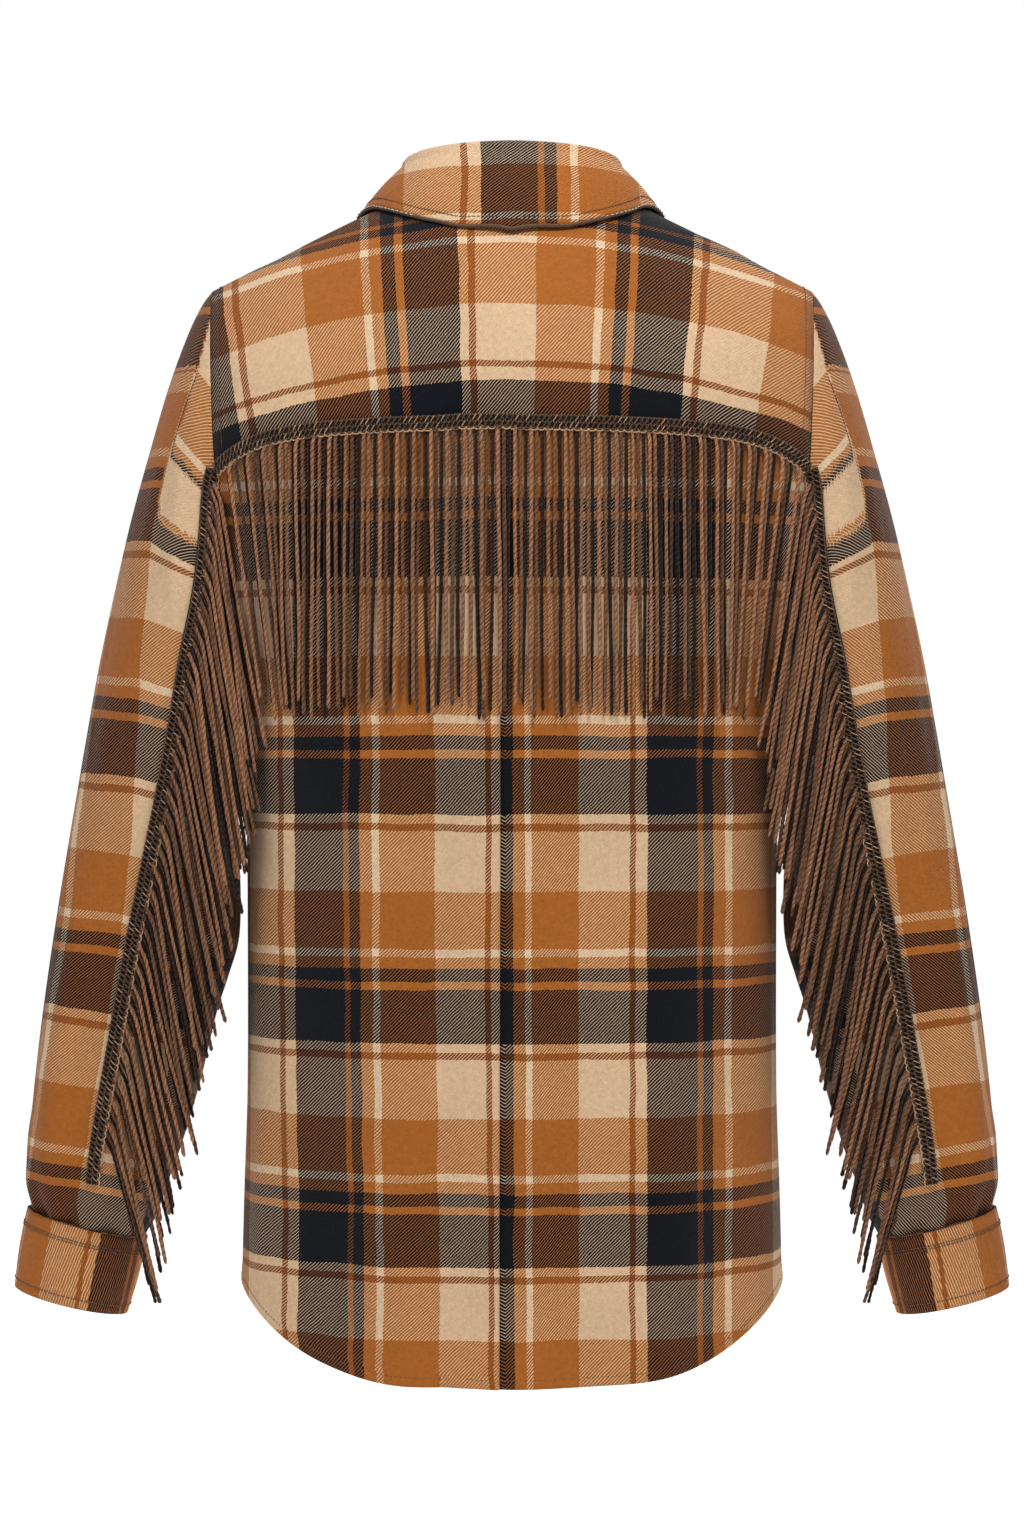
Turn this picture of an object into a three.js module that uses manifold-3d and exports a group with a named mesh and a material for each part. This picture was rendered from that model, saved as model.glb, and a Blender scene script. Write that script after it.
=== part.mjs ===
// A plaid flannel shirt with a fringed back yoke and fringed sleeves, in the hollow form it has when worn.
// Units are millimetres, +Z is up, the back faces -Y and the right-hand side of the back view is +X.
// The origin is the middle of the neck base, between the two places where the shoulders carry the shirt.

import * as THREE from "three";
import Module from "manifold-3d";

// Cloth
const CLOTH = 1.5;
const DOUBLE_CLOTH = 2.0;
const SEAM_GAP = 0.3;
const ARMHOLE_GAP = 0.5;

// Shoulders and neck
const NECK_HALF_WIDTH = 70;
const SHOULDER_AT_NECK = 9;
const SHOULDER_SLOPE = 0.502;
const SHOULDER_CROWN = 25;
const SHOULDER_ROUND = 110;
const NECK_BACK_Z = 4;
const NECK_BACK_RISE = 5;
const NECK_FRONT_Z = -62;
const YOKE_FORWARD = 56;
const YOKE_NECK_CORNER_X = 66;
const NECK_CORNER_TURN = 24;

// Armholes: the seam lies in a plane that leans in a little towards the armpit
const ARMHOLE_TOP_X = 191;
const ARMHOLE_TOP_Z = -50;
const ARMHOLE_LEAN = 0.06;
const ARMPIT_Z = -290;

// Hem, in the curve of a shirt tail
const HEM_SIDE_Z = -678.4;
const HEM_BACK_Z = -731;
const HEM_FRONT_Z = -706;
const HEM_HALF_WIDTH = 172;
const HEM_CURVE = 3.8;

// Yoke seam under the back braid
const YOKE_SEAM_Z = -145.4;
const YOKE_SEAM_BOW = 2.1;
const YOKE_SEAM_DROP = 20;

// Body sections: half width at the side seams, depth behind and in front of them
const TORSO_SQUARENESS = 2.5;
const TORSO_SECTIONS = [
  { z: 60, halfWidth: 215, back: 84, front: 40 },
  { z: 0, halfWidth: 215, back: 93, front: 48 },
  { z: -30, halfWidth: 215, back: 100, front: 56 },
  { z: -62, halfWidth: 215, back: 108, front: 67 },
  { z: -100, halfWidth: 214, back: 116, front: 86 },
  { z: -147, halfWidth: 211, back: 121, front: 104 },
  { z: -200, halfWidth: 204, back: 124, front: 116 },
  { z: -250, halfWidth: 191, back: 125, front: 119 },
  { z: -290, halfWidth: 176.6, back: 124, front: 118 },
  { z: -340, halfWidth: 171.5, back: 121, front: 115 },
  { z: -400, halfWidth: 169, back: 118, front: 112 },
  { z: -443, halfWidth: 168.5, back: 117, front: 111 },
  { z: -557, halfWidth: 168.5, back: 119, front: 113 },
  { z: -623, halfWidth: 170.5, back: 122, front: 116 },
  { z: -680, halfWidth: 172, back: 124, front: 118 },
  { z: -790, halfWidth: 174, back: 128, front: 122 },
];

// Heights of the rows of a body panel along its side edge, from the hem up
const SIDE_ROWS = [-678.4, -634, -588, -540, -492, -444, -398, -356, -322, -302, -290, -280, -262, -238, -206];
const FRONT_ROWS_ABOVE = [-168, -130, -95];

// Soft lengthwise folds of the hanging cloth: place across, height of the ridge, half breadth
const BACK_FOLDS = [
  { x: -146, height: -4, breadth: 20 },
  { x: -112, height: -5, breadth: 22 },
  { x: -74, height: 5, breadth: 24 },
  { x: -34, height: -5, breadth: 20 },
  { x: 4, height: 3, breadth: 18 },
  { x: 52, height: -5, breadth: 24 },
  { x: 96, height: 5, breadth: 24 },
  { x: 140, height: -4, breadth: 22 },
];
const FRONT_FOLDS = [
  { x: -128, height: 5, breadth: 24 },
  { x: -84, height: -5, breadth: 22 },
  { x: -48, height: 4, breadth: 18 },
  { x: 44, height: 4, breadth: 18 },
  { x: 88, height: -5, breadth: 24 },
  { x: 130, height: 5, breadth: 22 },
];
const FOLDS_START_Z = -340;
const FOLDS_FULL_Z = -660;

// Pleat at the centre of the back: its folded edge, and how far the cloth goes back under it
const PLEAT_EDGE_X = -7;
const PLEAT_DEPTH = 17.5;
const PLEAT_AIR = 0.5;
const PLEAT_LEFT_X = -46;
const PLEAT_FLAT_X = -29;
const PLEAT_FALL = 12;
const PLEAT_RISE_X = [-38, -31];
const PLEAT_RIGHT_X = 12;

// Front opening
const PLACKET_HALF_WIDTH = 17;
const PLACKET_LIFT = 0.4;
const PLACKET_BELOW_NECK = 3;
const FRONTS_MEET_X = -12;
const BUTTON_RADIUS = 5.75;
const BUTTON_THICKNESS = 2.4;
const BUTTON_SIDES = 14;
const BUTTON_COUNT = 6;
const FIRST_BUTTON_Z = -126;
const BUTTON_SPACING = 92;

// Collar
// Height of the stand's top edge by the angle round the neck from the back
const STAND_TOP = [
  { angle: 0, z: 31.5 },
  { angle: 45, z: 31 },
  { angle: 75, z: 29 },
  { angle: 90, z: 26 },
  { angle: 112, z: 14 },
  { angle: 135, z: -7 },
  { angle: 160, z: -26 },
  { angle: 190, z: -33 },
];
const STAND_LEAN = 4;
const STAND_OVERLAP_LIFT = 2.5;
const STAND_END = 192;
const LEAF_END = 168;
const COLLAR_STEP = 12;
// Lower edge of the collar leaf: angle round the neck from the back, place on the shoulder form
const LEAF_EDGE = [
  { angle: 0, x: 0, over: 120 },
  { angle: 25, x: 36, over: 104 },
  { angle: 50, x: 68, over: 68 },
  { angle: 75, x: 88, over: 24 },
  { angle: 95, x: 95, over: -12 },
  { angle: 115, x: 97, over: -50 },
  { angle: 135, x: 90, over: -92 },
  { angle: 154, x: 74, over: -134 },
  { angle: 168, x: 55, over: -166 },
];
const LEAF_CLEARANCE = 2.6;
const LEAF_BOW = 2.2;
// Fold of the leaf over the stand: distance out from the stand and height over its top
const LEAF_FOLD = [
  { out: -1, up: 0.4 },
  { out: -0.6, up: 2.4 },
  { out: 1.3, up: 3.6 },
  { out: 3.3, up: 2.6 },
  { out: 4.6, up: -1.6 },
];
const LEAF_DROP_ROWS = [0.35, 0.7, 1];

// Sleeve sections: outer and inner line of the sleeve, depth behind and in front of its middle
const SLEEVE_SECTIONS = [
  { at: 0, outerX: 191, outerZ: -51, innerX: 177, innerZ: -290, back: 74, front: 66, middleY: 0 },
  { at: 1, outerX: 198, outerZ: -60, innerX: 179.5, innerZ: -294, back: 74, front: 66, middleY: 0 },
  { at: 2, outerX: 207, outerZ: -79, innerX: 181, innerZ: -303, back: 75, front: 67, middleY: 0 },
  { at: 3, outerX: 219, outerZ: -112, innerX: 181, innerZ: -318, back: 75, front: 68, middleY: 0 },
  { at: 4, outerX: 231, outerZ: -153, innerX: 180, innerZ: -338, back: 74, front: 68, middleY: 0 },
  { at: 5, outerX: 243, outerZ: -196, innerX: 178.5, innerZ: -362, back: 72, front: 67, middleY: 1 },
  { at: 6, outerX: 254, outerZ: -243, innerX: 176.5, innerZ: -388, back: 70, front: 66, middleY: 2 },
  { at: 7, outerX: 264, outerZ: -290, innerX: 175, innerZ: -414, back: 68, front: 65, middleY: 3 },
  { at: 8, outerX: 273, outerZ: -340, innerX: 174, innerZ: -440, back: 65, front: 63, middleY: 4.5 },
  { at: 9, outerX: 282, outerZ: -392, innerX: 175, innerZ: -466, back: 62, front: 61, middleY: 6 },
  { at: 10, outerX: 290, outerZ: -440, innerX: 181, innerZ: -488, back: 59, front: 58, middleY: 7 },
  { at: 11, outerX: 297, outerZ: -486, innerX: 189, innerZ: -514, back: 57, front: 56, middleY: 8 },
  { at: 12, outerX: 303, outerZ: -530, innerX: 199, innerZ: -556, back: 55, front: 54, middleY: 9.5 },
  { at: 13, outerX: 308, outerZ: -576, innerX: 212, innerZ: -599, back: 50, front: 49, middleY: 11 },
  { at: 14, outerX: 310.5, outerZ: -613, innerX: 225, innerZ: -633, back: 45, front: 44, middleY: 12.5 },
  { at: 15, outerX: 311, outerZ: -636.7, innerX: 235, innerZ: -656.7, back: 38, front: 38, middleY: 14 },
];
const SLEEVE_COLUMNS = 20;
const SLEEVE_END = 15;
const SLEEVE_HEAD_END = 6;
// Creases along the sleeve: angle round it, height, half breadth in degrees, where it starts and is full
const SLEEVE_FOLDS = [
  { angle: 42, height: 3.5, breadth: 22, start: 6, full: 11 },
  { angle: 78, height: -3.5, breadth: 20, start: 8, full: 13 },
  { angle: 128, height: 3, breadth: 20, start: 9, full: 13 },
  { angle: 205, height: -3.5, breadth: 24, start: 7, full: 12 },
  { angle: 262, height: 3.5, breadth: 24, start: 6, full: 12 },
  { angle: 318, height: -3, breadth: 22, start: 8, full: 13 },
];
const SLEEVE_FOLDS_END = 14.6;

// Cuffs
const CUFF_SECTIONS = [
  { at: 0, outerX: 311.6, outerZ: -637.1, innerX: 234.6, innerZ: -657.1, back: 38.6, front: 38.6, middleY: 14 },
  { at: 1, outerX: 316, outerZ: -662, innerX: 240.5, innerZ: -681.5, back: 38, front: 38, middleY: 14.5 },
  { at: 2, outerX: 320, outerZ: -687.5, innerX: 247.5, innerZ: -705.5, back: 37, front: 37, middleY: 15 },
];
const CUFF_COLUMNS = 26;
const CUFF_OVERLAP_ANGLE = 285;
const CUFF_OVERLAP = 26;
const CUFF_OVERLAP_LIFT = 2.5;

// Fringe: a crocheted braid with cords hanging from it
const BRAID_WIDTH = 9;
const BRAID_THICKNESS = 2.6;
const BRAID_LIFT = 0.4;
const BRAID_END_GAP = 2;
const CORD_RADIUS = 1.35;
const CORD_SIDES = 3;
const BACK_CORDS = 80;
const BACK_CORDS_REACH = 174;
const BACK_CORD_END_Z = -320;
const BACK_CORD_LEAN_FROM = 120;
const BACK_CORD_LEAN = 7.7;
const SLEEVE_CORDS = 62;
const SLEEVE_CORDS_END = 12.9;
const SLEEVE_CORD_LENGTH = 172;
const SLEEVE_CORD_SHORTER = 4.4;
const SLEEVE_CORD_LEAN = 7.7;
const SLEEVE_CORD_LEAN_MORE = 0.45;
const BACK_CORD_LIFTS = [2.15, 3.65];
const CORD_LEAN_LIFT = 0.12;
const CORD_LAYER = 2.8;
const CORD_CLEARANCE = 2.4;
const CORDS_OVER_BODY = 3;
// Line of the braid down the sleeve: section of the sleeve and share of the way from outer to inner line
const SLEEVE_BRAID_LINE = [
  { at: 0, share: 0.49 },
  { at: 1, share: 0.53 },
  { at: 2, share: 0.61 },
  { at: 3, share: 0.64 },
  { at: 5, share: 0.6 },
  { at: 7, share: 0.55 },
  { at: 9, share: 0.49 },
  { at: 11, share: 0.49 },
  { at: 13, share: 0.5 },
  { at: 14, share: 0.54 },
];
const SLEEVE_BRAID_START = 0.12;
const SLEEVE_BRAID_END = 13.8;
const SLEEVE_BRAID_STEPS = 30;

// Colours
const COLOURS = {
  tan: 0xac672d,
  cream: 0xe8cda5,
  brown: 0x543a26,
  fringe: 0x7d5844,
  button: 0x3a2a20,
};

const DEGREE = Math.PI / 180;

// Plain helpers
function mix(a, b, share) {
  return a + (b - a) * share;
}

function smooth(value) {
  const held = Math.min(1, Math.max(0, value));
  return held * held * (3 - 2 * held);
}

function uneven(index, salt) {
  const wave = Math.sin(index * 12.9898 + salt * 78.233) * 43758.5453;
  return 2 * (wave - Math.floor(wave)) - 1;
}

// Reads a table at any place between its rows, with a smooth curve through each column
function readTable(table, key, place) {
  const rising = table[1][key] > table[0][key];
  let row = 0;
  while (row < table.length - 2 && (rising ? place > table[row + 1][key] : place < table[row + 1][key])) {
    row += 1;
  }
  const a = table[row];
  const b = table[row + 1];
  const before = table[Math.max(0, row - 1)];
  const after = table[Math.min(table.length - 1, row + 2)];
  const span = b[key] - a[key];
  const share = Math.min(1, Math.max(0, (place - a[key]) / span));
  const result = {};
  for (const name of Object.keys(a)) {
    const slopeA = ((b[name] - before[name]) / (b[key] - before[key])) * span;
    const slopeB = ((after[name] - a[name]) / (after[key] - a[key])) * span;
    const s2 = share * share;
    const s3 = s2 * share;
    result[name] =
      (2 * s3 - 3 * s2 + 1) * a[name] +
      (s3 - 2 * s2 + share) * slopeA +
      (3 * s2 - 2 * s3) * b[name] +
      (s3 - s2) * slopeB;
  }
  return result;
}

// Body form
function shoulderHeight(x) {
  const fromCrown = Math.hypot(x, SHOULDER_CROWN) - Math.hypot(NECK_HALF_WIDTH, SHOULDER_CROWN);
  return SHOULDER_AT_NECK - SHOULDER_SLOPE * fromCrown;
}

function armholeX(z) {
  return ARMHOLE_TOP_X + ARMHOLE_LEAN * (z - ARMHOLE_TOP_Z);
}

function yokeSeamZ(x) {
  return YOKE_SEAM_Z - YOKE_SEAM_BOW * (x / 100) ** 2 - YOKE_SEAM_DROP * (Math.abs(x) / 184) ** 9;
}

function foldHeight(folds, x, z) {
  const share = smooth((FOLDS_START_Z - z) / (FOLDS_START_Z - FOLDS_FULL_Z));
  let height = 0;
  for (const fold of folds) {
    const off = (x - fold.x) / fold.breadth;
    height += fold.height * share * Math.exp(-off * off);
  }
  return height;
}

// Point of the body at an angle round it, 0 at the centre back and 180 degrees at the centre front
function bodyPoint(angle, z) {
  const section = readTable(TORSO_SECTIONS, "z", z);
  const behind = Math.cos(angle) > 0;
  const x = section.halfWidth * Math.sin(angle);
  const fall = Math.max(0, shoulderHeight(x) - z);
  const over = fall < SHOULDER_ROUND ? Math.sin(Math.acos(1 - fall / SHOULDER_ROUND)) : 1;
  const across = Math.max(0, 1 - Math.abs(Math.sin(angle)) ** TORSO_SQUARENESS) ** (1 / TORSO_SQUARENESS);
  const folds = foldHeight(behind ? BACK_FOLDS : FRONT_FOLDS, x, z) * across;
  const depth = (behind ? section.back : section.front) * across * over + folds;
  return new THREE.Vector3(x, behind ? -depth : depth, z);
}

// The same form by the distance over the shoulder: 0 on the shoulder line, positive down the back
function shoulderPoint(x, over) {
  const quarter = (SHOULDER_ROUND * Math.PI) / 2;
  const along = Math.abs(over);
  const turn = Math.min(along, quarter) / SHOULDER_ROUND;
  const fall = SHOULDER_ROUND * (1 - Math.cos(turn)) + Math.max(0, along - quarter);
  const z = shoulderHeight(x) - fall;
  const section = readTable(TORSO_SECTIONS, "z", z);
  const across = Math.max(0, 1 - (Math.abs(x) / section.halfWidth) ** TORSO_SQUARENESS) ** (1 / TORSO_SQUARENESS);
  const depth = (over > 0 ? section.back : section.front) * across * Math.sin(turn);
  return new THREE.Vector3(x, over > 0 ? -depth : depth, z);
}

function overFromHeight(x, z) {
  const fall = Math.max(0, shoulderHeight(x) - z);
  if (fall < SHOULDER_ROUND) {
    return SHOULDER_ROUND * Math.acos(1 - fall / SHOULDER_ROUND);
  }
  return (SHOULDER_ROUND * Math.PI) / 2 + fall - SHOULDER_ROUND;
}

function angleOf(x, z) {
  const section = readTable(TORSO_SECTIONS, "z", z);
  return Math.asin(Math.min(1, Math.max(-1, x / section.halfWidth)));
}

function edgeAngle(z) {
  return z > ARMPIT_Z ? angleOf(armholeX(z), z) : Math.PI / 2;
}

// Normal of a surface of two parameters, by small steps, on the side that sign chooses
function normalOf(surface, u, v, stepU, stepV, sign) {
  const du = surface(u + stepU, v).sub(surface(u - stepU, v));
  const dv = surface(u, v + stepV).sub(surface(u, v - stepV));
  return du.cross(dv).normalize().multiplyScalar(sign);
}

function bodyNormal(angle, z) {
  return normalOf(bodyPoint, angle, z, 0.01, 1.5, 1);
}

function shoulderNormal(x, over) {
  return normalOf(shoulderPoint, x, over, 0.5, 0.8, -1);
}

function lifted(point, normal, lift) {
  return point.clone().addScaledVector(normal, lift);
}

// Closed solid of a wall between two grids of points, with its edges closed by narrow strips
function wallGeometry(outer, inner, wrap) {
  const rows = outer.length;
  const columns = outer[0].length;
  const positions = [];
  for (const grid of [outer, inner]) {
    for (const row of grid) {
      for (const point of row) {
        positions.push(point.x, point.y, point.z);
      }
    }
  }
  const innerStart = rows * columns;
  const index = [];
  const quad = (a, b, c, d) => index.push(a, b, c, a, c, d);
  const place = (row, column) => row * columns + (column % columns);
  const lastColumn = wrap ? columns : columns - 1;
  for (let row = 0; row < rows - 1; row += 1) {
    for (let column = 0; column < lastColumn; column += 1) {
      const a = place(row, column);
      const b = place(row, column + 1);
      const c = place(row + 1, column + 1);
      const d = place(row + 1, column);
      quad(a, b, c, d);
      quad(innerStart + d, innerStart + c, innerStart + b, innerStart + a);
    }
  }
  for (let column = 0; column < lastColumn; column += 1) {
    const a = place(0, column);
    const b = place(0, column + 1);
    const c = place(rows - 1, column);
    const d = place(rows - 1, column + 1);
    quad(b, a, innerStart + a, innerStart + b);
    quad(c, d, innerStart + d, innerStart + c);
  }
  if (!wrap) {
    for (let row = 0; row < rows - 1; row += 1) {
      const a = place(row, 0);
      const b = place(row + 1, 0);
      const c = place(row, columns - 1);
      const d = place(row + 1, columns - 1);
      quad(a, b, innerStart + b, innerStart + a);
      quad(d, c, innerStart + c, innerStart + d);
    }
  }
  return facingOut(positions, index);
}

function facingOut(positions, index) {
  let volume = 0;
  const corner = (place) => new THREE.Vector3().fromArray(positions, place * 3);
  for (let face = 0; face < index.length; face += 3) {
    const a = corner(index[face]);
    const b = corner(index[face + 1]);
    const c = corner(index[face + 2]);
    volume += a.dot(b.cross(c));
  }
  if (volume < 0) {
    index.reverse();
  }
  const geometry = new THREE.BufferGeometry();
  geometry.setAttribute("position", new THREE.Float32BufferAttribute(positions, 3));
  geometry.setIndex(index);
  geometry.computeVertexNormals();
  return geometry;
}

function clothMaterial(color) {
  return new THREE.MeshStandardMaterial({ color, roughness: 0.9, metalness: 0 });
}

function pieceOf(name, geometry, material) {
  const mesh = new THREE.Mesh(geometry, material);
  mesh.name = name;
  return mesh;
}

// Hem line of a panel across the body
function hemHeight(x, lowest) {
  const share = Math.min(1, Math.abs(x) / HEM_HALF_WIDTH) ** HEM_CURVE;
  return lowest + (HEM_SIDE_Z - lowest) * share;
}

// Height where a column meets a line across the body, found by going back and forth a few times
function meetLine(columnX, line, start) {
  let z = start;
  for (let turn = 0; turn < 12; turn += 1) {
    z = line(columnX(z));
  }
  return z;
}

// Back panel. A column is a place across the back at any height, with the lift of both faces of the cloth.
function pleatColumns() {
  const half = CLOTH / 2;
  const top = 2 * (CLOTH + PLEAT_AIR);
  const middle = CLOTH + PLEAT_AIR;
  const turnOuter = half + (CLOTH + PLEAT_AIR) / 2;
  const turnInner = turnOuter - CLOTH;
  const edgeX = PLEAT_EDGE_X - turnOuter;
  const backX = edgeX - PLEAT_DEPTH;
  const edgeLift = middle - half + (CLOTH + PLEAT_AIR) / 2;
  const backLift = edgeLift - CLOTH - PLEAT_AIR;
  const columns = [];
  const flat = (x, lift) => columns.push({ outer: [x, lift], inner: [x, lift - CLOTH] });
  for (const x of PLEAT_RISE_X) {
    flat(x, pleatTop(x));
  }
  flat(backX - 0.5, top);
  flat(edgeX - 6, top);
  for (const turn of [90, 30, -30, -90]) {
    const across = Math.cos(turn * DEGREE);
    const up = Math.sin(turn * DEGREE);
    columns.push({
      outer: [edgeX + turnOuter * across, edgeLift + turnOuter * up],
      inner: [edgeX + turnInner * across, edgeLift + turnInner * up],
    });
  }
  for (const turn of [90, 150, 210, 270]) {
    const across = Math.cos(turn * DEGREE);
    const up = Math.sin(turn * DEGREE);
    columns.push({
      outer: [backX + turnInner * across, backLift + turnInner * up],
      inner: [backX + turnOuter * across, backLift + turnOuter * up],
    });
  }
  flat(-8, 0);
  return columns;
}

function pleatTop(x) {
  const top = 2 * (CLOTH + PLEAT_AIR);
  if (x < PLEAT_EDGE_X + 2) {
    return top * smooth((x - PLEAT_LEFT_X) / (PLEAT_FLAT_X - PLEAT_LEFT_X));
  }
  return top * (1 - smooth((x - PLEAT_EDGE_X - 2) / PLEAT_FALL));
}

const SIDE_STEPS = 7;
const SIDE_START_X = 46;

// Place across the body of a step between a fixed place near the middle and the side edge
function sideColumnX(startX, step, z) {
  const section = readTable(TORSO_SECTIONS, "z", z);
  const start = Math.asin(startX / section.halfWidth);
  return section.halfWidth * Math.sin(mix(start, edgeAngle(z), step));
}

function backPanel() {
  const fixed = (x) => ({ outer: [x, 0], inner: [x, -CLOTH] });
  const columns = [];
  for (let step = SIDE_STEPS; step >= 0; step -= 1) {
    columns.push({ side: -1, step: step / SIDE_STEPS });
  }
  columns.push(...pleatColumns(), fixed(PLEAT_RIGHT_X), fixed(28));
  for (let step = 0; step <= SIDE_STEPS; step += 1) {
    columns.push({ side: 1, step: step / SIDE_STEPS });
  }
  const sideTop = meetLine(armholeX, yokeSeamZ, -172);
  const heights = [...SIDE_ROWS, sideTop];
  const outer = heights.map(() => []);
  const inner = heights.map(() => []);
  for (const column of columns) {
    const columnX = (z) =>
      column.outer ? column.outer[0] : column.side * sideColumnX(SIDE_START_X, column.step, z);
    const hem = meetLine(columnX, (x) => hemHeight(x, HEM_BACK_Z), -700);
    const top = meetLine(columnX, (x) => yokeSeamZ(x) - SEAM_GAP / 2, -150);
    heights.forEach((height, row) => {
      const z = mix(hem, top, (height - HEM_SIDE_Z) / (sideTop - HEM_SIDE_Z));
      const place = (faceX, lift) => {
        const angle = angleOf(faceX, z);
        return lifted(bodyPoint(angle, z), bodyNormal(angle, z), lift);
      };
      if (column.outer) {
        outer[row].push(place(...column.outer));
        inner[row].push(place(...column.inner));
        return;
      }
      const atSide = column.step === 1;
      const angle = atSide ? edgeAngle(z) : angleOf(columnX(z) * column.side, z);
      const point = bodyPoint(angle * column.side, z);
      const normal = bodyNormal(angle * column.side, z);
      if (atSide) {
        point.y -= SEAM_GAP / 2;
      }
      outer[row].push(point);
      inner[row].push(lifted(point, normal, -CLOTH));
    });
  }
  return wallGeometry(outer, inner, false);
}

// Fronts, one for each side. The right one reaches past the middle, under the placket.
const FRONT_NECK_X = [10, 30, 46, 57, 63];
const FRONT_SEAM_X = [66, 100, 130, 160];

function frontNeckHeight(x) {
  const seamZ = shoulderPoint(YOKE_NECK_CORNER_X, -YOKE_FORWARD).z;
  return mix(NECK_FRONT_Z, seamZ, Math.min(1, Math.abs(x) / YOKE_NECK_CORNER_X) ** 2.6);
}

function frontTopHeight(x) {
  if (Math.abs(x) < YOKE_NECK_CORNER_X) {
    return frontNeckHeight(x);
  }
  return shoulderPoint(Math.abs(x), -YOKE_FORWARD - SEAM_GAP).z;
}

function frontRowHeights() {
  const top = frontTopHeight(ARMHOLE_TOP_X);
  return [...SIDE_ROWS, ...FRONT_ROWS_ABOVE, top];
}

function frontPanel(side, startX) {
  const heights = frontRowHeights();
  const sideTop = heights[heights.length - 1];
  const columns = [startX, ...FRONT_NECK_X, ...FRONT_SEAM_X, ARMHOLE_TOP_X].filter((x) => x >= startX);
  const outer = heights.map(() => []);
  const inner = heights.map(() => []);
  for (const topX of columns) {
    const atSide = topX === ARMHOLE_TOP_X;
    const topZ = frontTopHeight(topX);
    const section = readTable(TORSO_SECTIONS, "z", topZ);
    const start = Math.asin(startX / section.halfWidth);
    const step = atSide ? 1 : (Math.asin(topX / section.halfWidth) - start) / (edgeAngle(topZ) - start);
    const columnX = (z) => sideColumnX(startX, step, z);
    const hem = meetLine(columnX, (x) => hemHeight(x, HEM_FRONT_Z), -700);
    heights.forEach((height, row) => {
      const z = mix(hem, topZ, (height - HEM_SIDE_Z) / (sideTop - HEM_SIDE_Z));
      const angle = Math.PI - (atSide ? edgeAngle(z) : angleOf(columnX(z), z));
      const point = bodyPoint(angle * side, z);
      const normal = bodyNormal(angle * side, z);
      if (atSide) {
        point.y += SEAM_GAP / 2;
      }
      outer[row].push(point);
      inner[row].push(lifted(point, normal, -CLOTH));
    });
  }
  return wallGeometry(outer, inner, false);
}

function frontPlacket() {
  const heights = frontRowHeights();
  const sideTop = heights[heights.length - 1];
  const hem = HEM_FRONT_Z;
  const top = NECK_FRONT_Z - PLACKET_BELOW_NECK;
  const outer = [];
  const inner = [];
  for (const height of heights) {
    const z = mix(hem, top, (height - HEM_SIDE_Z) / (sideTop - HEM_SIDE_Z));
    const outerRow = [];
    const innerRow = [];
    for (const x of [-PLACKET_HALF_WIDTH, 0, PLACKET_HALF_WIDTH]) {
      const angle = Math.PI - angleOf(x, z);
      const point = bodyPoint(angle, z);
      const normal = bodyNormal(angle, z);
      outerRow.push(lifted(point, normal, PLACKET_LIFT + DOUBLE_CLOTH));
      innerRow.push(lifted(point, normal, PLACKET_LIFT));
    }
    outer.push(outerRow);
    inner.push(innerRow);
  }
  return wallGeometry(outer, inner, false);
}

// Yoke, from the seam under the braid over the shoulders to the seams with the fronts
function neckBackOver(x) {
  const z = NECK_BACK_Z + NECK_BACK_RISE * (Math.abs(x) / NECK_HALF_WIDTH) ** 3;
  return overFromHeight(x, z);
}

const YOKE_NECK_X = [0, 30, 50, 63];
const YOKE_SEAM_X = [100, 130, 160];
const YOKE_ROWS = 8;

function backYoke() {
  const half = [];
  YOKE_NECK_X.forEach((x) => half.push({ x, over: neckBackOver(x) }));
  half.push({ x: NECK_HALF_WIDTH, over: 0 });
  half.push({ x: YOKE_NECK_CORNER_X, over: -YOKE_FORWARD });
  YOKE_SEAM_X.forEach((x) => half.push({ x, over: -YOKE_FORWARD }));
  half.push({ x: ARMHOLE_TOP_X, over: -YOKE_FORWARD });
  half.forEach((edge, index) => {
    if (index < 2) {
      edge.bottomX = index * 23;
      return;
    }
    const step = (index - 2) / SIDE_STEPS;
    const bottomZ = meetLine((z) => sideColumnX(SIDE_START_X, step, z), (x) => yokeSeamZ(x), -150);
    edge.bottomX = sideColumnX(SIDE_START_X, step, bottomZ);
  });
  const edges = [];
  for (let index = half.length - 1; index > 0; index -= 1) {
    edges.push({ ...half[index], side: -1, atArmhole: index === half.length - 1 });
  }
  half.forEach((edge, index) => edges.push({ ...edge, side: 1, atArmhole: index === half.length - 1 }));
  const outer = [];
  const inner = [];
  for (let row = 0; row <= YOKE_ROWS; row += 1) {
    const share = row / YOKE_ROWS;
    const outerRow = [];
    const innerRow = [];
    for (const edge of edges) {
      const bottomOver = overFromHeight(edge.bottomX, yokeSeamZ(edge.bottomX) + SEAM_GAP / 2);
      const over = mix(bottomOver, edge.over, share);
      let x = mix(edge.bottomX, edge.x, share);
      if (edge.atArmhole) {
        x = armholeX(shoulderPoint(x, over).z);
      }
      const point = shoulderPoint(x * edge.side, over);
      outerRow.push(point);
      innerRow.push(lifted(point, shoulderNormal(x * edge.side, over), -CLOTH));
    }
    outer.push(outerRow);
    inner.push(innerRow);
  }
  return wallGeometry(outer, inner, false);
}

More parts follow.
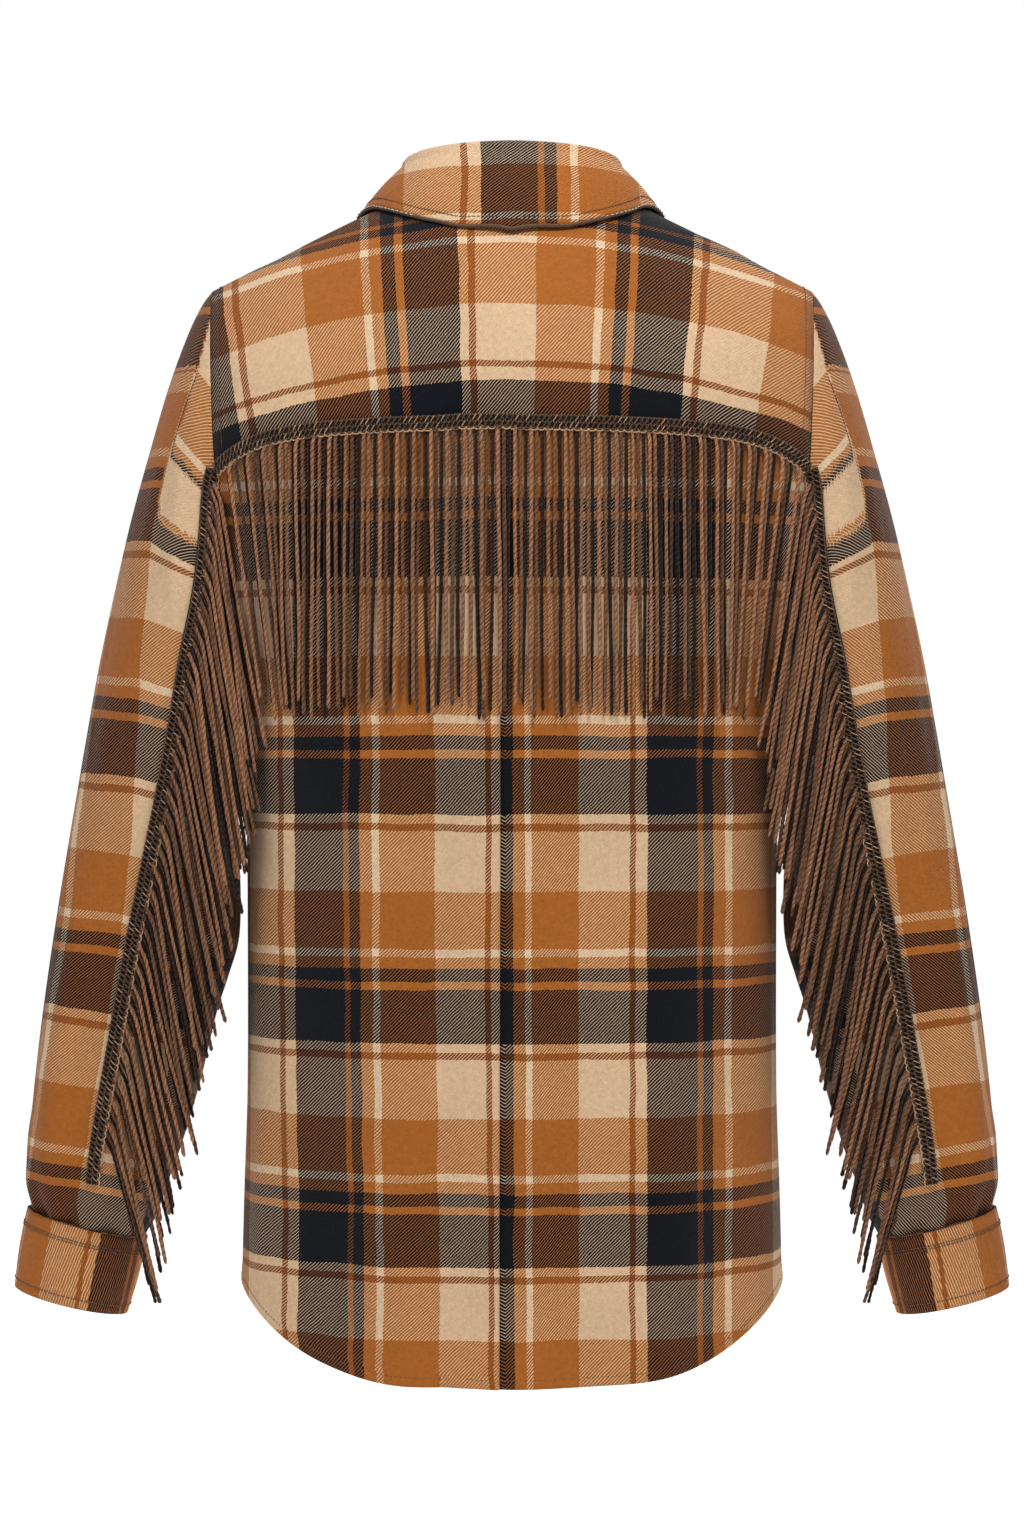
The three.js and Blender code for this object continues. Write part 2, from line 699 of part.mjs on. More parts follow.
// Neckline at an angle from the centre back, on both sides of the neck
function neckPoint(angle) {
  const side = Math.sin(angle) < 0 ? -1 : 1;
  const turn = Math.abs(Math.atan2(Math.sin(angle), Math.cos(angle)));
  const x = NECK_HALF_WIDTH * Math.sin(turn);
  if (turn <= Math.PI / 2) {
    return shoulderPoint(x * side, neckBackOver(x));
  }
  const frontX = Math.min(x, YOKE_NECK_CORNER_X);
  const z = frontNeckHeight(frontX);
  const front = shoulderPoint(frontX * side, -overFromHeight(frontX, z));
  const share = (turn / DEGREE - 90) / NECK_CORNER_TURN;
  if (share >= 1) {
    return front;
  }
  return shoulderPoint(x * side, -YOKE_FORWARD * share).lerp(front, smooth(share));
}

function neckOut(angle) {
  const near = neckPoint(angle - 0.03);
  const far = neckPoint(angle + 0.03);
  const along = far.sub(near).setZ(0).normalize();
  return new THREE.Vector3(along.y, -along.x, 0);
}

function standTop(angle) {
  const base = neckPoint(angle);
  const turn = Math.abs(Math.atan2(Math.sin(angle), Math.cos(angle))) / DEGREE;
  const { z } = readTable(STAND_TOP, "angle", turn);
  return base.addScaledVector(neckOut(angle), -STAND_LEAN).setZ(z);
}

// Raises a point of the collar leaf until it is clear of the shoulder or chest below it
function clearOfShoulder(point, clearance) {
  const section = readTable(TORSO_SECTIONS, "z", point.z);
  const across = (1 - (Math.abs(point.x) / section.halfWidth) ** TORSO_SQUARENESS) ** (1 / TORSO_SQUARENESS);
  const depth = (point.y < 0 ? section.back : section.front) * across;
  const share = Math.min(1, Math.abs(point.y) / depth);
  const bodyZ = shoulderHeight(point.x) - SHOULDER_ROUND * (1 - Math.cos(Math.asin(share)));
  point.z = Math.max(point.z, bodyZ + clearance);
  return point;
}

// Stand of the collar. Its left end lies over its right end at the front.
function collarStand() {
  const outer = [[], [], []];
  const inner = [[], [], []];
  for (let degrees = -STAND_END; degrees <= STAND_END; degrees += COLLAR_STEP) {
    const angle = degrees * DEGREE;
    const lift = STAND_OVERLAP_LIFT * smooth((degrees - 140) / 24);
    const out = neckOut(angle);
    const low = neckPoint(angle).addScaledVector(out, lift);
    low.z += 3 * SEAM_GAP;
    const high = standTop(angle).addScaledVector(out, lift);
    [0, 0.5, 1].forEach((share, row) => {
      const point = low.clone().lerp(high, share);
      outer[row].push(point);
      inner[row].push(lifted(point, out, -DOUBLE_CLOTH));
    });
  }
  return wallGeometry(outer, inner, false);
}

// Leaf of the collar, folded over the top of the stand and lying on the yoke and the fronts
function collarLeaf() {
  const rows = LEAF_FOLD.length + LEAF_DROP_ROWS.length;
  const middle = [];
  for (let row = 0; row < rows; row += 1) {
    middle.push([]);
  }
  for (let degrees = -LEAF_END; degrees <= LEAF_END; degrees += COLLAR_STEP) {
    const angle = degrees * DEGREE;
    const side = degrees < 0 ? -1 : 1;
    const top = standTop(angle);
    const lift = STAND_OVERLAP_LIFT * smooth((degrees - 140) / 24);
    const out = neckOut(angle);
    LEAF_FOLD.forEach((fold, row) => {
      const point = top.clone().addScaledVector(out, fold.out + lift);
      point.z += fold.up;
      middle[row].push(point);
    });
    const edge = readTable(LEAF_EDGE, "angle", Math.abs(degrees));
    const onBody = shoulderPoint(edge.x * side, edge.over);
    const low = lifted(onBody, shoulderNormal(edge.x * side, edge.over), LEAF_CLEARANCE);
    const fold = middle[LEAF_FOLD.length - 1].at(-1);
    LEAF_DROP_ROWS.forEach((share, row) => {
      const point = fold.clone().lerp(low, share);
      point.addScaledVector(out, LEAF_BOW * Math.sin(Math.PI * share));
      middle[LEAF_FOLD.length + row].push(clearOfShoulder(point, LEAF_CLEARANCE * 1.2));
    });
  }
  return wallFromMiddle(middle, DOUBLE_CLOTH);
}

// Wall built on both sides of a grid of middle points
function wallFromMiddle(middle, thickness) {
  const rows = middle.length;
  const columns = middle[0].length;
  const outer = [];
  const inner = [];
  for (let row = 0; row < rows; row += 1) {
    outer.push([]);
    inner.push([]);
    for (let column = 0; column < columns; column += 1) {
      const left = middle[row][Math.max(0, column - 1)];
      const right = middle[row][Math.min(columns - 1, column + 1)];
      const below = middle[Math.max(0, row - 1)][column];
      const above = middle[Math.min(rows - 1, row + 1)][column];
      const normal = right.clone().sub(left).cross(above.clone().sub(below)).normalize();
      outer[row].push(lifted(middle[row][column], normal, thickness / 2));
      inner[row].push(lifted(middle[row][column], normal, -thickness / 2));
    }
  }
  return wallGeometry(outer, inner, false);
}

// Sleeve of the right-hand side, as a tube with 0 degrees on its outer line and 90 degrees at its back
function tubePoint(table, at, angle) {
  const section = readTable(table, "at", at);
  const share = (1 - Math.cos(angle)) / 2;
  const depth = Math.sin(angle) > 0 ? section.back : section.front;
  return new THREE.Vector3(
    mix(section.outerX, section.innerX, share),
    section.middleY - depth * Math.sin(angle),
    mix(section.outerZ, section.innerZ, share),
  );
}

// Depth of the armhole at an angle round it, as a share of the depth of the sleeve's first section
function armholeShare(angle) {
  const z = mix(shoulderHeight(ARMHOLE_TOP_X), ARMPIT_Z, (1 - Math.cos(angle)) / 2);
  const edge = angleOf(armholeX(z), z);
  const first = SLEEVE_SECTIONS[0];
  if (Math.sin(angle) > 0) {
    return -bodyPoint(edge, z).y / first.back;
  }
  return -bodyPoint(Math.PI - edge, z).y / first.front;
}

function sleevePoint(at, angle) {
  const held = Math.max(0, at);
  const section = readTable(SLEEVE_SECTIONS, "at", held);
  const point = tubePoint(SLEEVE_SECTIONS, held, angle);
  if (held < SLEEVE_HEAD_END) {
    const depth = Math.sin(angle) > 0 ? section.back : section.front;
    const change = armholeShare(angle) - Math.sin(angle);
    point.y -= depth * change * (1 - smooth(held / SLEEVE_HEAD_END));
  }
  point.x += ARMHOLE_GAP * (1 - smooth(held));
  const axis = new THREE.Vector3(section.outerX - section.innerX, 0, section.outerZ - section.innerZ).normalize();
  const out = axis.multiplyScalar(Math.cos(angle)).add(new THREE.Vector3(0, -Math.sin(angle), 0));
  let height = 0;
  for (const fold of SLEEVE_FOLDS) {
    let off = angle / DEGREE - fold.angle;
    off -= 360 * Math.round(off / 360);
    const share = smooth((held - fold.start) / (fold.full - fold.start));
    const end = smooth((SLEEVE_END - held) / (SLEEVE_END - SLEEVE_FOLDS_END + 1));
    height += fold.height * share * end * Math.exp(-((off / fold.breadth) ** 2));
  }
  return point.addScaledVector(out, height);
}

function sleeveNormal(at, angle) {
  const forward = Math.min(at + 0.15, SLEEVE_END);
  const backward = Math.max(0, at - 0.15);
  const du = sleevePoint(forward, angle).sub(sleevePoint(backward, angle));
  const dv = sleevePoint(at, angle + 0.06).sub(sleevePoint(at, angle - 0.06));
  return du.cross(dv).normalize().negate();
}

function mirrored(grid, side) {
  for (const row of grid) {
    for (const point of row) {
      point.x *= side;
    }
  }
  return grid;
}

function sleeve(side) {
  const outer = [];
  const inner = [];
  for (const section of SLEEVE_SECTIONS) {
    const outerRow = [];
    const innerRow = [];
    for (let column = 0; column < SLEEVE_COLUMNS; column += 1) {
      const angle = ((column + 0.5) / SLEEVE_COLUMNS) * 2 * Math.PI;
      const point = sleevePoint(section.at, angle);
      const inside = lifted(point, sleeveNormal(section.at, angle), -CLOTH);
      if (section.at === 0) {
        inside.x = Math.max(inside.x, point.x);
      }
      outerRow.push(point);
      innerRow.push(inside);
    }
    outer.push(outerRow);
    inner.push(innerRow);
  }
  return wallGeometry(mirrored(outer, side), mirrored(inner, side), true);
}

// Cuff, a band with its end lapped over its start
function cuffPlace(at, degrees) {
  const angle = degrees * DEGREE;
  const point = tubePoint(CUFF_SECTIONS, at, angle);
  const section = readTable(CUFF_SECTIONS, "at", at);
  const axis = new THREE.Vector3(section.outerX - section.innerX, 0, section.outerZ - section.innerZ).normalize();
  const out = axis.multiplyScalar(Math.cos(angle)).add(new THREE.Vector3(0, -Math.sin(angle), 0));
  return { point, out };
}

function cuff(side) {
  const outer = [[], [], []];
  const inner = [[], [], []];
  const first = CUFF_OVERLAP_ANGLE - 360 - CUFF_OVERLAP / 2;
  const last = CUFF_OVERLAP_ANGLE + CUFF_OVERLAP / 2;
  for (let column = 0; column <= CUFF_COLUMNS; column += 1) {
    const degrees = mix(first, last, column / CUFF_COLUMNS);
    const lift = CUFF_OVERLAP_LIFT * smooth((degrees - last + CUFF_OVERLAP + 26) / 24);
    for (const row of [0, 1, 2]) {
      const { point, out } = cuffPlace(row, degrees);
      outer[row].push(lifted(point, out, lift));
      inner[row].push(lifted(point, out, lift - DOUBLE_CLOTH));
    }
  }
  return wallGeometry(mirrored(outer, side), mirrored(inner, side), false);
}

// Fringe
const wasm = await Module();
wasm.setup();

function solidOf(geometry) {
  const vertProperties = new Float32Array(geometry.attributes.position.array);
  const triVerts = new Uint32Array(geometry.index.array);
  return new wasm.Manifold(new wasm.Mesh({ numProp: 3, vertProperties, triVerts }));
}

function geometryOf(solid) {
  const mesh = solid.getMesh();
  const geometry = new THREE.BufferGeometry();
  geometry.setAttribute("position", new THREE.BufferAttribute(new Float32Array(mesh.vertProperties), 3));
  geometry.setIndex(new THREE.BufferAttribute(new Uint32Array(mesh.triVerts), 1));
  geometry.computeVertexNormals();
  return geometry;
}

// One cord through the points of its path, with a flat side towards the cloth
function cordGeometry(path) {
  const positions = [];
  const index = [];
  for (const point of path) {
    for (let side = 0; side < CORD_SIDES; side += 1) {
      const angle = -Math.PI / 2 + (side * 2 * Math.PI) / CORD_SIDES;
      positions.push(point.x + CORD_RADIUS * Math.cos(angle), point.y + CORD_RADIUS * Math.sin(angle), point.z);
    }
  }
  for (let ring = 0; ring < path.length - 1; ring += 1) {
    for (let side = 0; side < CORD_SIDES; side += 1) {
      const a = ring * CORD_SIDES + side;
      const b = ring * CORD_SIDES + ((side + 1) % CORD_SIDES);
      index.push(a, b, b + CORD_SIDES, a, b + CORD_SIDES, a + CORD_SIDES);
    }
  }
  const last = (path.length - 1) * CORD_SIDES;
  for (let side = 1; side < CORD_SIDES - 1; side += 1) {
    index.push(0, side + 1, side);
    index.push(last, last + side, last + side + 1);
  }
  return facingOut(positions, index);
}

function fringeOf(strip, paths) {
  const solids = [solidOf(strip)];
  for (const path of paths) {
    solids.push(solidOf(cordGeometry(path)));
  }
  return geometryOf(wasm.Manifold.union(solids));
}

function backSurface(x, z, lift) {
  const angle = angleOf(x, z);
  return lifted(bodyPoint(angle, z), bodyNormal(angle, z), lift);
}

const BRAID_STATIONS = [0, 12, 28, 46, 66, 87, 107, 127, 145, 160, 172];

function backBraid() {
  const end = armholeX(-172) - BRAID_END_GAP;
  const stations = [...BRAID_STATIONS, end];
  const places = [
    ...stations.slice(4).reverse().map((x) => -x),
    -46, -38, -30, -18, -5, 4,
    ...stations.slice(1),
  ];
  const outer = [[], []];
  const inner = [[], []];
  for (const x of places) {
    const base = BRAID_LIFT + pleatTop(x);
    [-1, 1].forEach((edge, row) => {
      const z = yokeSeamZ(x) + (edge * BRAID_WIDTH) / 2;
      outer[row].push(backSurface(x, z, base + BRAID_THICKNESS));
      inner[row].push(backSurface(x, z, base));
    });
  }
  return wallGeometry(outer, inner, false);
}

function backFringe() {
  const paths = [];
  const reach = BACK_CORDS_REACH;
  for (let cord = 0; cord < BACK_CORDS; cord += 1) {
    const x = mix(-reach, reach, cord / (BACK_CORDS - 1));
    const side = Math.sign(x);
    const lean = BACK_CORD_LEAN * smooth((Math.abs(x) - BACK_CORD_LEAN_FROM) / (reach - BACK_CORD_LEAN_FROM));
    const slope = Math.tan(lean * DEGREE) * side;
    const sway = 0.5 * Math.sin(cord * 0.9) + 0.25 * uneven(cord, 1);
    const length = yokeSeamZ(x) - BACK_CORD_END_Z + 5 * uneven(cord, 2);
    const cordLift = BACK_CORD_LIFTS[cord % 2] + CORD_LEAN_LIFT * lean;
    const top = yokeSeamZ(x) - BRAID_WIDTH / 2 + 1.6;
    const shares = lean > 0.5 ? [0, 0.3, 0.65, 1] : [0, 0.5, 1];
    const path = shares.map((share) => {
      const down = share * (length - BRAID_WIDTH / 2);
      const placeX = x - slope * down + sway * share;
      const lift = BRAID_LIFT + pleatTop(placeX) + (share > 0 ? cordLift : BRAID_THICKNESS / 2);
      return backSurface(placeX, top - down, lift);
    });
    paths.push(path);
  }
  return fringeOf(backBraid(), paths);
}

function braidAngle(at) {
  const { share } = readTable(SLEEVE_BRAID_LINE, "at", at);
  return Math.acos(1 - 2 * share);
}

function sleeveRadius(at) {
  const section = readTable(SLEEVE_SECTIONS, "at", at);
  return Math.hypot(section.outerX - section.innerX, section.outerZ - section.innerZ) / 2;
}

function sleeveBraid() {
  const outer = [];
  const inner = [];
  for (let step = 0; step <= SLEEVE_BRAID_STEPS; step += 1) {
    const at = mix(SLEEVE_BRAID_START, SLEEVE_BRAID_END, step / SLEEVE_BRAID_STEPS);
    const middle = braidAngle(at);
    const half = BRAID_WIDTH / 2 / sleeveRadius(at);
    const outerRow = [];
    const innerRow = [];
    for (const angle of [middle - half, middle + half]) {
      const point = sleevePoint(at, angle);
      const normal = sleeveNormal(at, angle);
      outerRow.push(lifted(point, normal, BRAID_LIFT + BRAID_THICKNESS));
      innerRow.push(lifted(point, normal, BRAID_LIFT));
    }
    outer.push(outerRow);
    inner.push(innerRow);
  }
  return { outer, inner };
}

function sleeveFringe(side) {
  const strip = sleeveBraid();
  const paths = [];
  for (let cord = 0; cord < SLEEVE_CORDS; cord += 1) {
    const at = mix(SLEEVE_BRAID_START + 0.1, SLEEVE_CORDS_END, cord / (SLEEVE_CORDS - 1));
    const angle = braidAngle(at) + (BRAID_WIDTH / 2 - 1.8) / sleeveRadius(at);
    const root = lifted(sleevePoint(at, angle), sleeveNormal(at, angle), BRAID_LIFT + BRAID_THICKNESS / 2);
    const lean = (SLEEVE_CORD_LEAN + SLEEVE_CORD_LEAN_MORE * at) * DEGREE;
    const length = SLEEVE_CORD_LENGTH - SLEEVE_CORD_SHORTER * at + 5 * uneven(cord, 3);
    const layer = cord % 2 === 0 ? 0.7 : 0.7 + CORD_LAYER;
    const path = [
      root,
      new THREE.Vector3(root.x - 5.5, root.y - layer, root.z - 6),
      new THREE.Vector3(root.x - Math.sin(lean) * length, root.y - layer, root.z - Math.cos(lean) * length),
    ];
    if (at < CORDS_OVER_BODY) {
      path.splice(2, 0, path[1].clone().lerp(path[2], 0.45));
      for (const point of path.slice(1)) {
        const bodyY = backSurface(point.x, point.z, 0).y;
        point.y = Math.min(point.y, bodyY - CORD_CLEARANCE - layer);
      }
    }
    paths.push(path.map((point) => new THREE.Vector3(point.x * side, point.y, point.z)));
  }
  const braid = wallGeometry(mirrored(strip.outer, side), mirrored(strip.inner, side), false);
  return fringeOf(braid, paths);
}

// Buttons
function button(name, place, out) {
  const geometry = new THREE.CylinderGeometry(BUTTON_RADIUS, BUTTON_RADIUS, BUTTON_THICKNESS, BUTTON_SIDES);
  const mesh = pieceOf(name, geometry, new THREE.MeshStandardMaterial({
    color: COLOURS.button,
    roughness: 0.4,
    metalness: 0,
  }));
  mesh.position.copy(place).addScaledVector(out, SEAM_GAP + BUTTON_THICKNESS / 2);
  mesh.quaternion.setFromUnitVectors(new THREE.Vector3(0, 1, 0), out);
  return mesh;
}

function frontButtons() {
  const group = new THREE.Group();
  for (let count = 0; count < BUTTON_COUNT; count += 1) {
    const z = FIRST_BUTTON_Z - count * BUTTON_SPACING;
    const normal = bodyNormal(Math.PI, z);
    const place = lifted(bodyPoint(Math.PI, z), normal, PLACKET_LIFT + DOUBLE_CLOTH);
    group.add(button(`front_button_${count + 1}`, place, normal));
  }
  return group;
}

function cuffButton(name, side) {
  const { point, out } = cuffPlace(1, CUFF_OVERLAP_ANGLE);
  const place = lifted(point, out, CUFF_OVERLAP_LIFT);
  place.x *= side;
  out.x *= side;
  return button(name, place, out);
}

function collarButton() {
  const angle = Math.PI;
  const out = neckOut(angle);
  const low = neckPoint(angle);
  const high = standTop(angle);
  const up = high.clone().sub(low).normalize();
  const normal = out.clone().addScaledVector(up, -out.dot(up)).normalize();
  const place = low.lerp(high, 0.45).addScaledVector(normal, STAND_OVERLAP_LIFT + SEAM_GAP);
  return button("collar_button", place, normal);
}

const shirt = new THREE.Group();
shirt.add(
  pieceOf("back_yoke", backYoke(), clothMaterial(COLOURS.tan)),
  pieceOf("back_panel", backPanel(), clothMaterial(COLOURS.cream)),
  pieceOf("front_right", frontPanel(1, FRONTS_MEET_X + SEAM_GAP), clothMaterial(COLOURS.cream)),
  pieceOf("front_left", frontPanel(-1, -FRONTS_MEET_X + SEAM_GAP), clothMaterial(COLOURS.cream)),
  pieceOf("front_placket", frontPlacket(), clothMaterial(COLOURS.brown)),
  pieceOf("collar_stand", collarStand(), clothMaterial(COLOURS.brown)),
  pieceOf("collar_leaf", collarLeaf(), clothMaterial(COLOURS.tan)),
  pieceOf("sleeve_right", sleeve(1), clothMaterial(COLOURS.tan)),
  pieceOf("sleeve_left", sleeve(-1), clothMaterial(COLOURS.tan)),
  pieceOf("cuff_right", cuff(1), clothMaterial(COLOURS.brown)),
  pieceOf("cuff_left", cuff(-1), clothMaterial(COLOURS.brown)),
  pieceOf("fringe_back", backFringe(), clothMaterial(COLOURS.fringe)),
  pieceOf("fringe_sleeve_right", sleeveFringe(1), clothMaterial(COLOURS.fringe)),
  pieceOf("fringe_sleeve_left", sleeveFringe(-1), clothMaterial(COLOURS.fringe)),
  frontButtons(),
  collarButton(),
  cuffButton("cuff_button_right", 1),
  cuffButton("cuff_button_left", -1),
);

export default shirt;
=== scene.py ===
# A plaid flannel shirt with a fringed back yoke and fringed sleeves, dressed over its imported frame.
# Forms are worked out in millimetres, +Z up, with the back towards -Y, and made in metres.
import bpy
import math
import numpy as np
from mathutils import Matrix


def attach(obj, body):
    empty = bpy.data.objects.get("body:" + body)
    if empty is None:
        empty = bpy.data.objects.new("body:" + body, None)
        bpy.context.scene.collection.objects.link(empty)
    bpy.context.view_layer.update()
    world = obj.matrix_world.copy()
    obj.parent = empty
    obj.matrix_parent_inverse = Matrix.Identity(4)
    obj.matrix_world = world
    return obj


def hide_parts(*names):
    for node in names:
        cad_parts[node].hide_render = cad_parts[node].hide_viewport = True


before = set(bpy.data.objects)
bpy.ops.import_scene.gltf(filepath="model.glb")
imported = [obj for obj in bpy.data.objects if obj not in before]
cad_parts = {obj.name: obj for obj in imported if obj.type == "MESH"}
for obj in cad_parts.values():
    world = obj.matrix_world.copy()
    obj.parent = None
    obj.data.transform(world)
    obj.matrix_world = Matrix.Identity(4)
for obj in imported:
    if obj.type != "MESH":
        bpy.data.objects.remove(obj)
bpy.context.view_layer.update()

METRES = 0.001

# Camera at the photograph's viewpoint, square to the back
CAMERA_AWAY = 2.3
CAMERA_HEIGHT = -0.3552
CAMERA_LENS = 84.23
CAMERA_SENSOR = 36
FLOOR_HEIGHT = -0.96

# Cloth
CLOTH = 1.3
DOUBLE_CLOTH = 1.9
SEAM_GAP = 0.3
ARMHOLE_GAP = 0.5

# Shoulders and neck
NECK_HALF_WIDTH = 70
SHOULDER_AT_NECK = 9
SHOULDER_SLOPE = 0.502
SHOULDER_CROWN = 25
SHOULDER_ROUND = 110
NECK_BACK_Z = 4
NECK_BACK_RISE = 5
NECK_FRONT_Z = -62
YOKE_FORWARD = 56
YOKE_NECK_CORNER_X = 66

# Armholes
ARMHOLE_TOP_X = 191
ARMHOLE_TOP_Z = -50
ARMHOLE_LEAN = 0.06
ARMPIT_Z = -290

# Heights from which the search for a column's end at the hem and at the yoke seam starts
HEM_GUESS_Z = -700
SEAM_GUESS_Z = -150

# Hem of the shirt tail
HEM_SIDE_Z = -678.4
HEM_BACK_Z = -731
HEM_FRONT_Z = -706
HEM_HALF_WIDTH = 172
HEM_CURVE = 3.8
HEM_TURN = 6.5

# Yoke seam
YOKE_SEAM_Z = -145.4
YOKE_SEAM_BOW = 2.1
YOKE_SEAM_DROP = 20

# Body sections: height, half width at the side seams, depth behind, depth in front
TORSO_SQUARENESS = 2.5
TORSO_SECTIONS = [
    (-790, 174, 128, 122),
    (-680, 172, 124, 118),
    (-623, 170.5, 122, 116),
    (-557, 168.5, 119, 113),
    (-443, 168.5, 117, 111),
    (-400, 169, 118, 112),
    (-340, 171.5, 121, 115),
    (-290, 176.6, 124, 118),
    (-250, 191, 125, 119),
    (-200, 204, 124, 116),
    (-147, 211, 121, 104),
    (-100, 214, 116, 86),
    (-62, 215, 108, 67),
    (-30, 215, 100, 56),
    (0, 215, 93, 48),
    (60, 215, 84, 40),
]

# Soft lengthwise folds: place across, height of the ridge, half breadth
BACK_FOLDS = [
    (-146, -4, 20), (-112, -5, 22), (-74, 5, 24), (-34, -5, 20),
    (4, 3, 18), (52, -5, 24), (96, 5, 24), (140, -4, 22),
]
FRONT_FOLDS = [(-128, 5, 24), (-84, -5, 22), (-48, 4, 18), (44, 4, 18), (88, -5, 24), (130, 5, 22)]
FOLDS_START_Z = -340
FOLDS_FULL_Z = -660

# Small creases of the body: x and z of both ends, height, half breadth
BACK_CREASES = [
    (-150, -330, -118, -392, -1.6, 8), (-156, -372, -126, -452, 1.5, 9), (-160, -300, -132, -338, 1.4, 7),
    (152, -322, 122, -398, -1.5, 9), (158, -368, 130, -440, 1.4, 8), (162, -306, 138, -336, -1.3, 7),
    (-92, -560, -104, -690, -1.2, 7), (-58, -520, -50, -702, 1.3, 8), (-24, -600, -30, -716, -1.1, 6),
    (26, -480, 18, -560, 1.0, 9), (38, -590, 44, -718, 1.2, 7), (74, -540, 80, -664, -1.3, 8),
    (112, -600, 106, -704, 1.2, 7), (-128, -600, -134, -680, 1.2, 7), (140, -560, 144, -640, 1.1, 8),
    (-96, -380, -70, -430, 0.9, 10), (88, -372, 62, -420, -0.9, 11), (-40, -420, -52, -500, 0.8, 9),
    (-166, -470, -140, -486, -1.0, 6), (166, -500, 138, -520, 1.0, 7), (-164, -540, -142, -552, 0.9, 6),
]
FRONT_CREASES = [
    (-150, -320, -112, -410, -1.6, 9), (-154, -390, -122, -470, 1.4, 9), (148, -316, 116, -400, -1.5, 9),
    (156, -380, 124, -460, 1.4, 8), (-60, -130, -86, -190, 1.2, 10), (58, -128, 84, -196, -1.2, 10),
    (-96, -560, -104, -676, -1.2, 8), (-40, -520, -36, -690, 1.2, 8), (64, -560, 72, -688, 1.2, 8),
    (104, -590, 98, -676, -1.1, 7), (-120, -220, -92, -262, 1.0, 10), (126, -210, 96, -258, 1.0, 10),
]
# Creases of the yoke: x and distance over the shoulder of both ends, height, half breadth
YOKE_CREASES = [
    (-176, 30, -120, 92, 1.2, 9), (-184, 74, -142, 128, -1.1, 8), (-158, 8, -104, 44, -1.0, 8),
    (-96, 120, -64, 176, 0.9, 9), (176, 26, 122, 88, -1.2, 9), (182, 78, 146, 132, 1.1, 8),
    (154, 4, 102, 48, 1.0, 8), (92, 116, 60, 170, -0.8, 9), (-24, 128, -30, 186, 0.7, 8),
    (30, 140, 26, 196, -0.7, 8), (-150, -34, -96, -14, 1.0, 8), (152, -36, 98, -12, -1.0, 8),
]

# Pleat of the back
PLEAT_CLOTH = 1.5
PLEAT_EDGE_X = -7
PLEAT_DEPTH = 17.5
PLEAT_AIR = 0.5
PLEAT_LEFT_X = -46
PLEAT_RIGHT_X = 42
# Right of the pleat the pattern is shifted: by how much at the pleat, and over what breadth that fades
PLEAT_SHIFT = 6.0
PLEAT_SHIFT_FADE = 40

# Front opening and buttons
PLACKET_LIFT = 0.4
PLACKET_STITCH_X = 10.5
PLACKET_BELOW_NECK = 3
FRONTS_MEET_X = -12
BUTTON_RADIUS = 5.75
BUTTON_THICKNESS = 2.4
BUTTON_COUNT = 6
FIRST_BUTTON_Z = -126
BUTTON_SPACING = 92

# Collar: angle round the neck from the back, height of the stand's top
STAND_TOP = [(0, 31.5), (45, 31), (75, 29), (90, 26), (112, 14), (135, -7), (160, -26), (190, -33)]
STAND_LEAN = 4
STAND_OVERLAP_LIFT = 2.5
STAND_END = 192
LEAF_END = 168
# Lower edge of the leaf: angle, place across, distance over the shoulder
LEAF_EDGE = [
    (0, 0, 120), (25, 36, 104), (50, 68, 68), (75, 88, 24), (95, 95, -12),
    (115, 97, -50), (135, 90, -92), (154, 74, -134), (168, 55, -166),
]
LEAF_CLEARANCE = 2.6
LEAF_BOW = 2.2
# Fold of the leaf over the stand: out from the stand, up over its top
LEAF_FOLD = [(-1, 0.4), (-0.6, 2.4), (1.3, 3.6), (3.3, 2.6), (4.6, -1.6)]

# Sleeve sections: place, outer x and z, inner x and z, depth behind, depth in front, middle y
SLEEVE_SECTIONS = [
    (0, 191, -51, 177, -290, 74, 66, 0),
    (1, 198, -60, 179.5, -294, 74, 66, 0),
    (2, 207, -79, 181, -303, 75, 67, 0),
    (3, 219, -112, 181, -318, 75, 68, 0),
    (4, 231, -153, 180, -338, 74, 68, 0),
    (5, 243, -196, 178.5, -362, 72, 67, 1),
    (6, 254, -243, 176.5, -388, 70, 66, 2),
    (7, 264, -290, 175, -414, 68, 65, 3),
    (8, 273, -340, 174, -440, 65, 63, 4.5),
    (9, 282, -392, 175, -466, 62, 61, 6),
    (10, 290, -440, 181, -488, 59, 58, 7),
    (11, 297, -486, 189, -514, 57, 56, 8),
    (12, 303, -530, 199, -556, 55, 54, 9.5),
    (13, 308, -576, 212, -599, 50, 49, 11),
    (14, 310.5, -613, 225, -633, 45, 44, 12.5),
    (15, 311, -636.7, 235, -656.7, 38, 38, 14),
]
SLEEVE_END = 15
SLEEVE_HEAD_END = 6
# Creases along the sleeve: angle round it, height, half breadth in degrees, where it starts and is full
SLEEVE_FOLDS = [
    (42, 3.5, 22, 6, 11), (78, -3.5, 20, 8, 13), (128, 3, 20, 9, 13),
    (205, -3.5, 24, 7, 12), (262, 3.5, 24, 6, 12), (318, -3, 22, 8, 13),
]
SLEEVE_FOLDS_END = 14.6
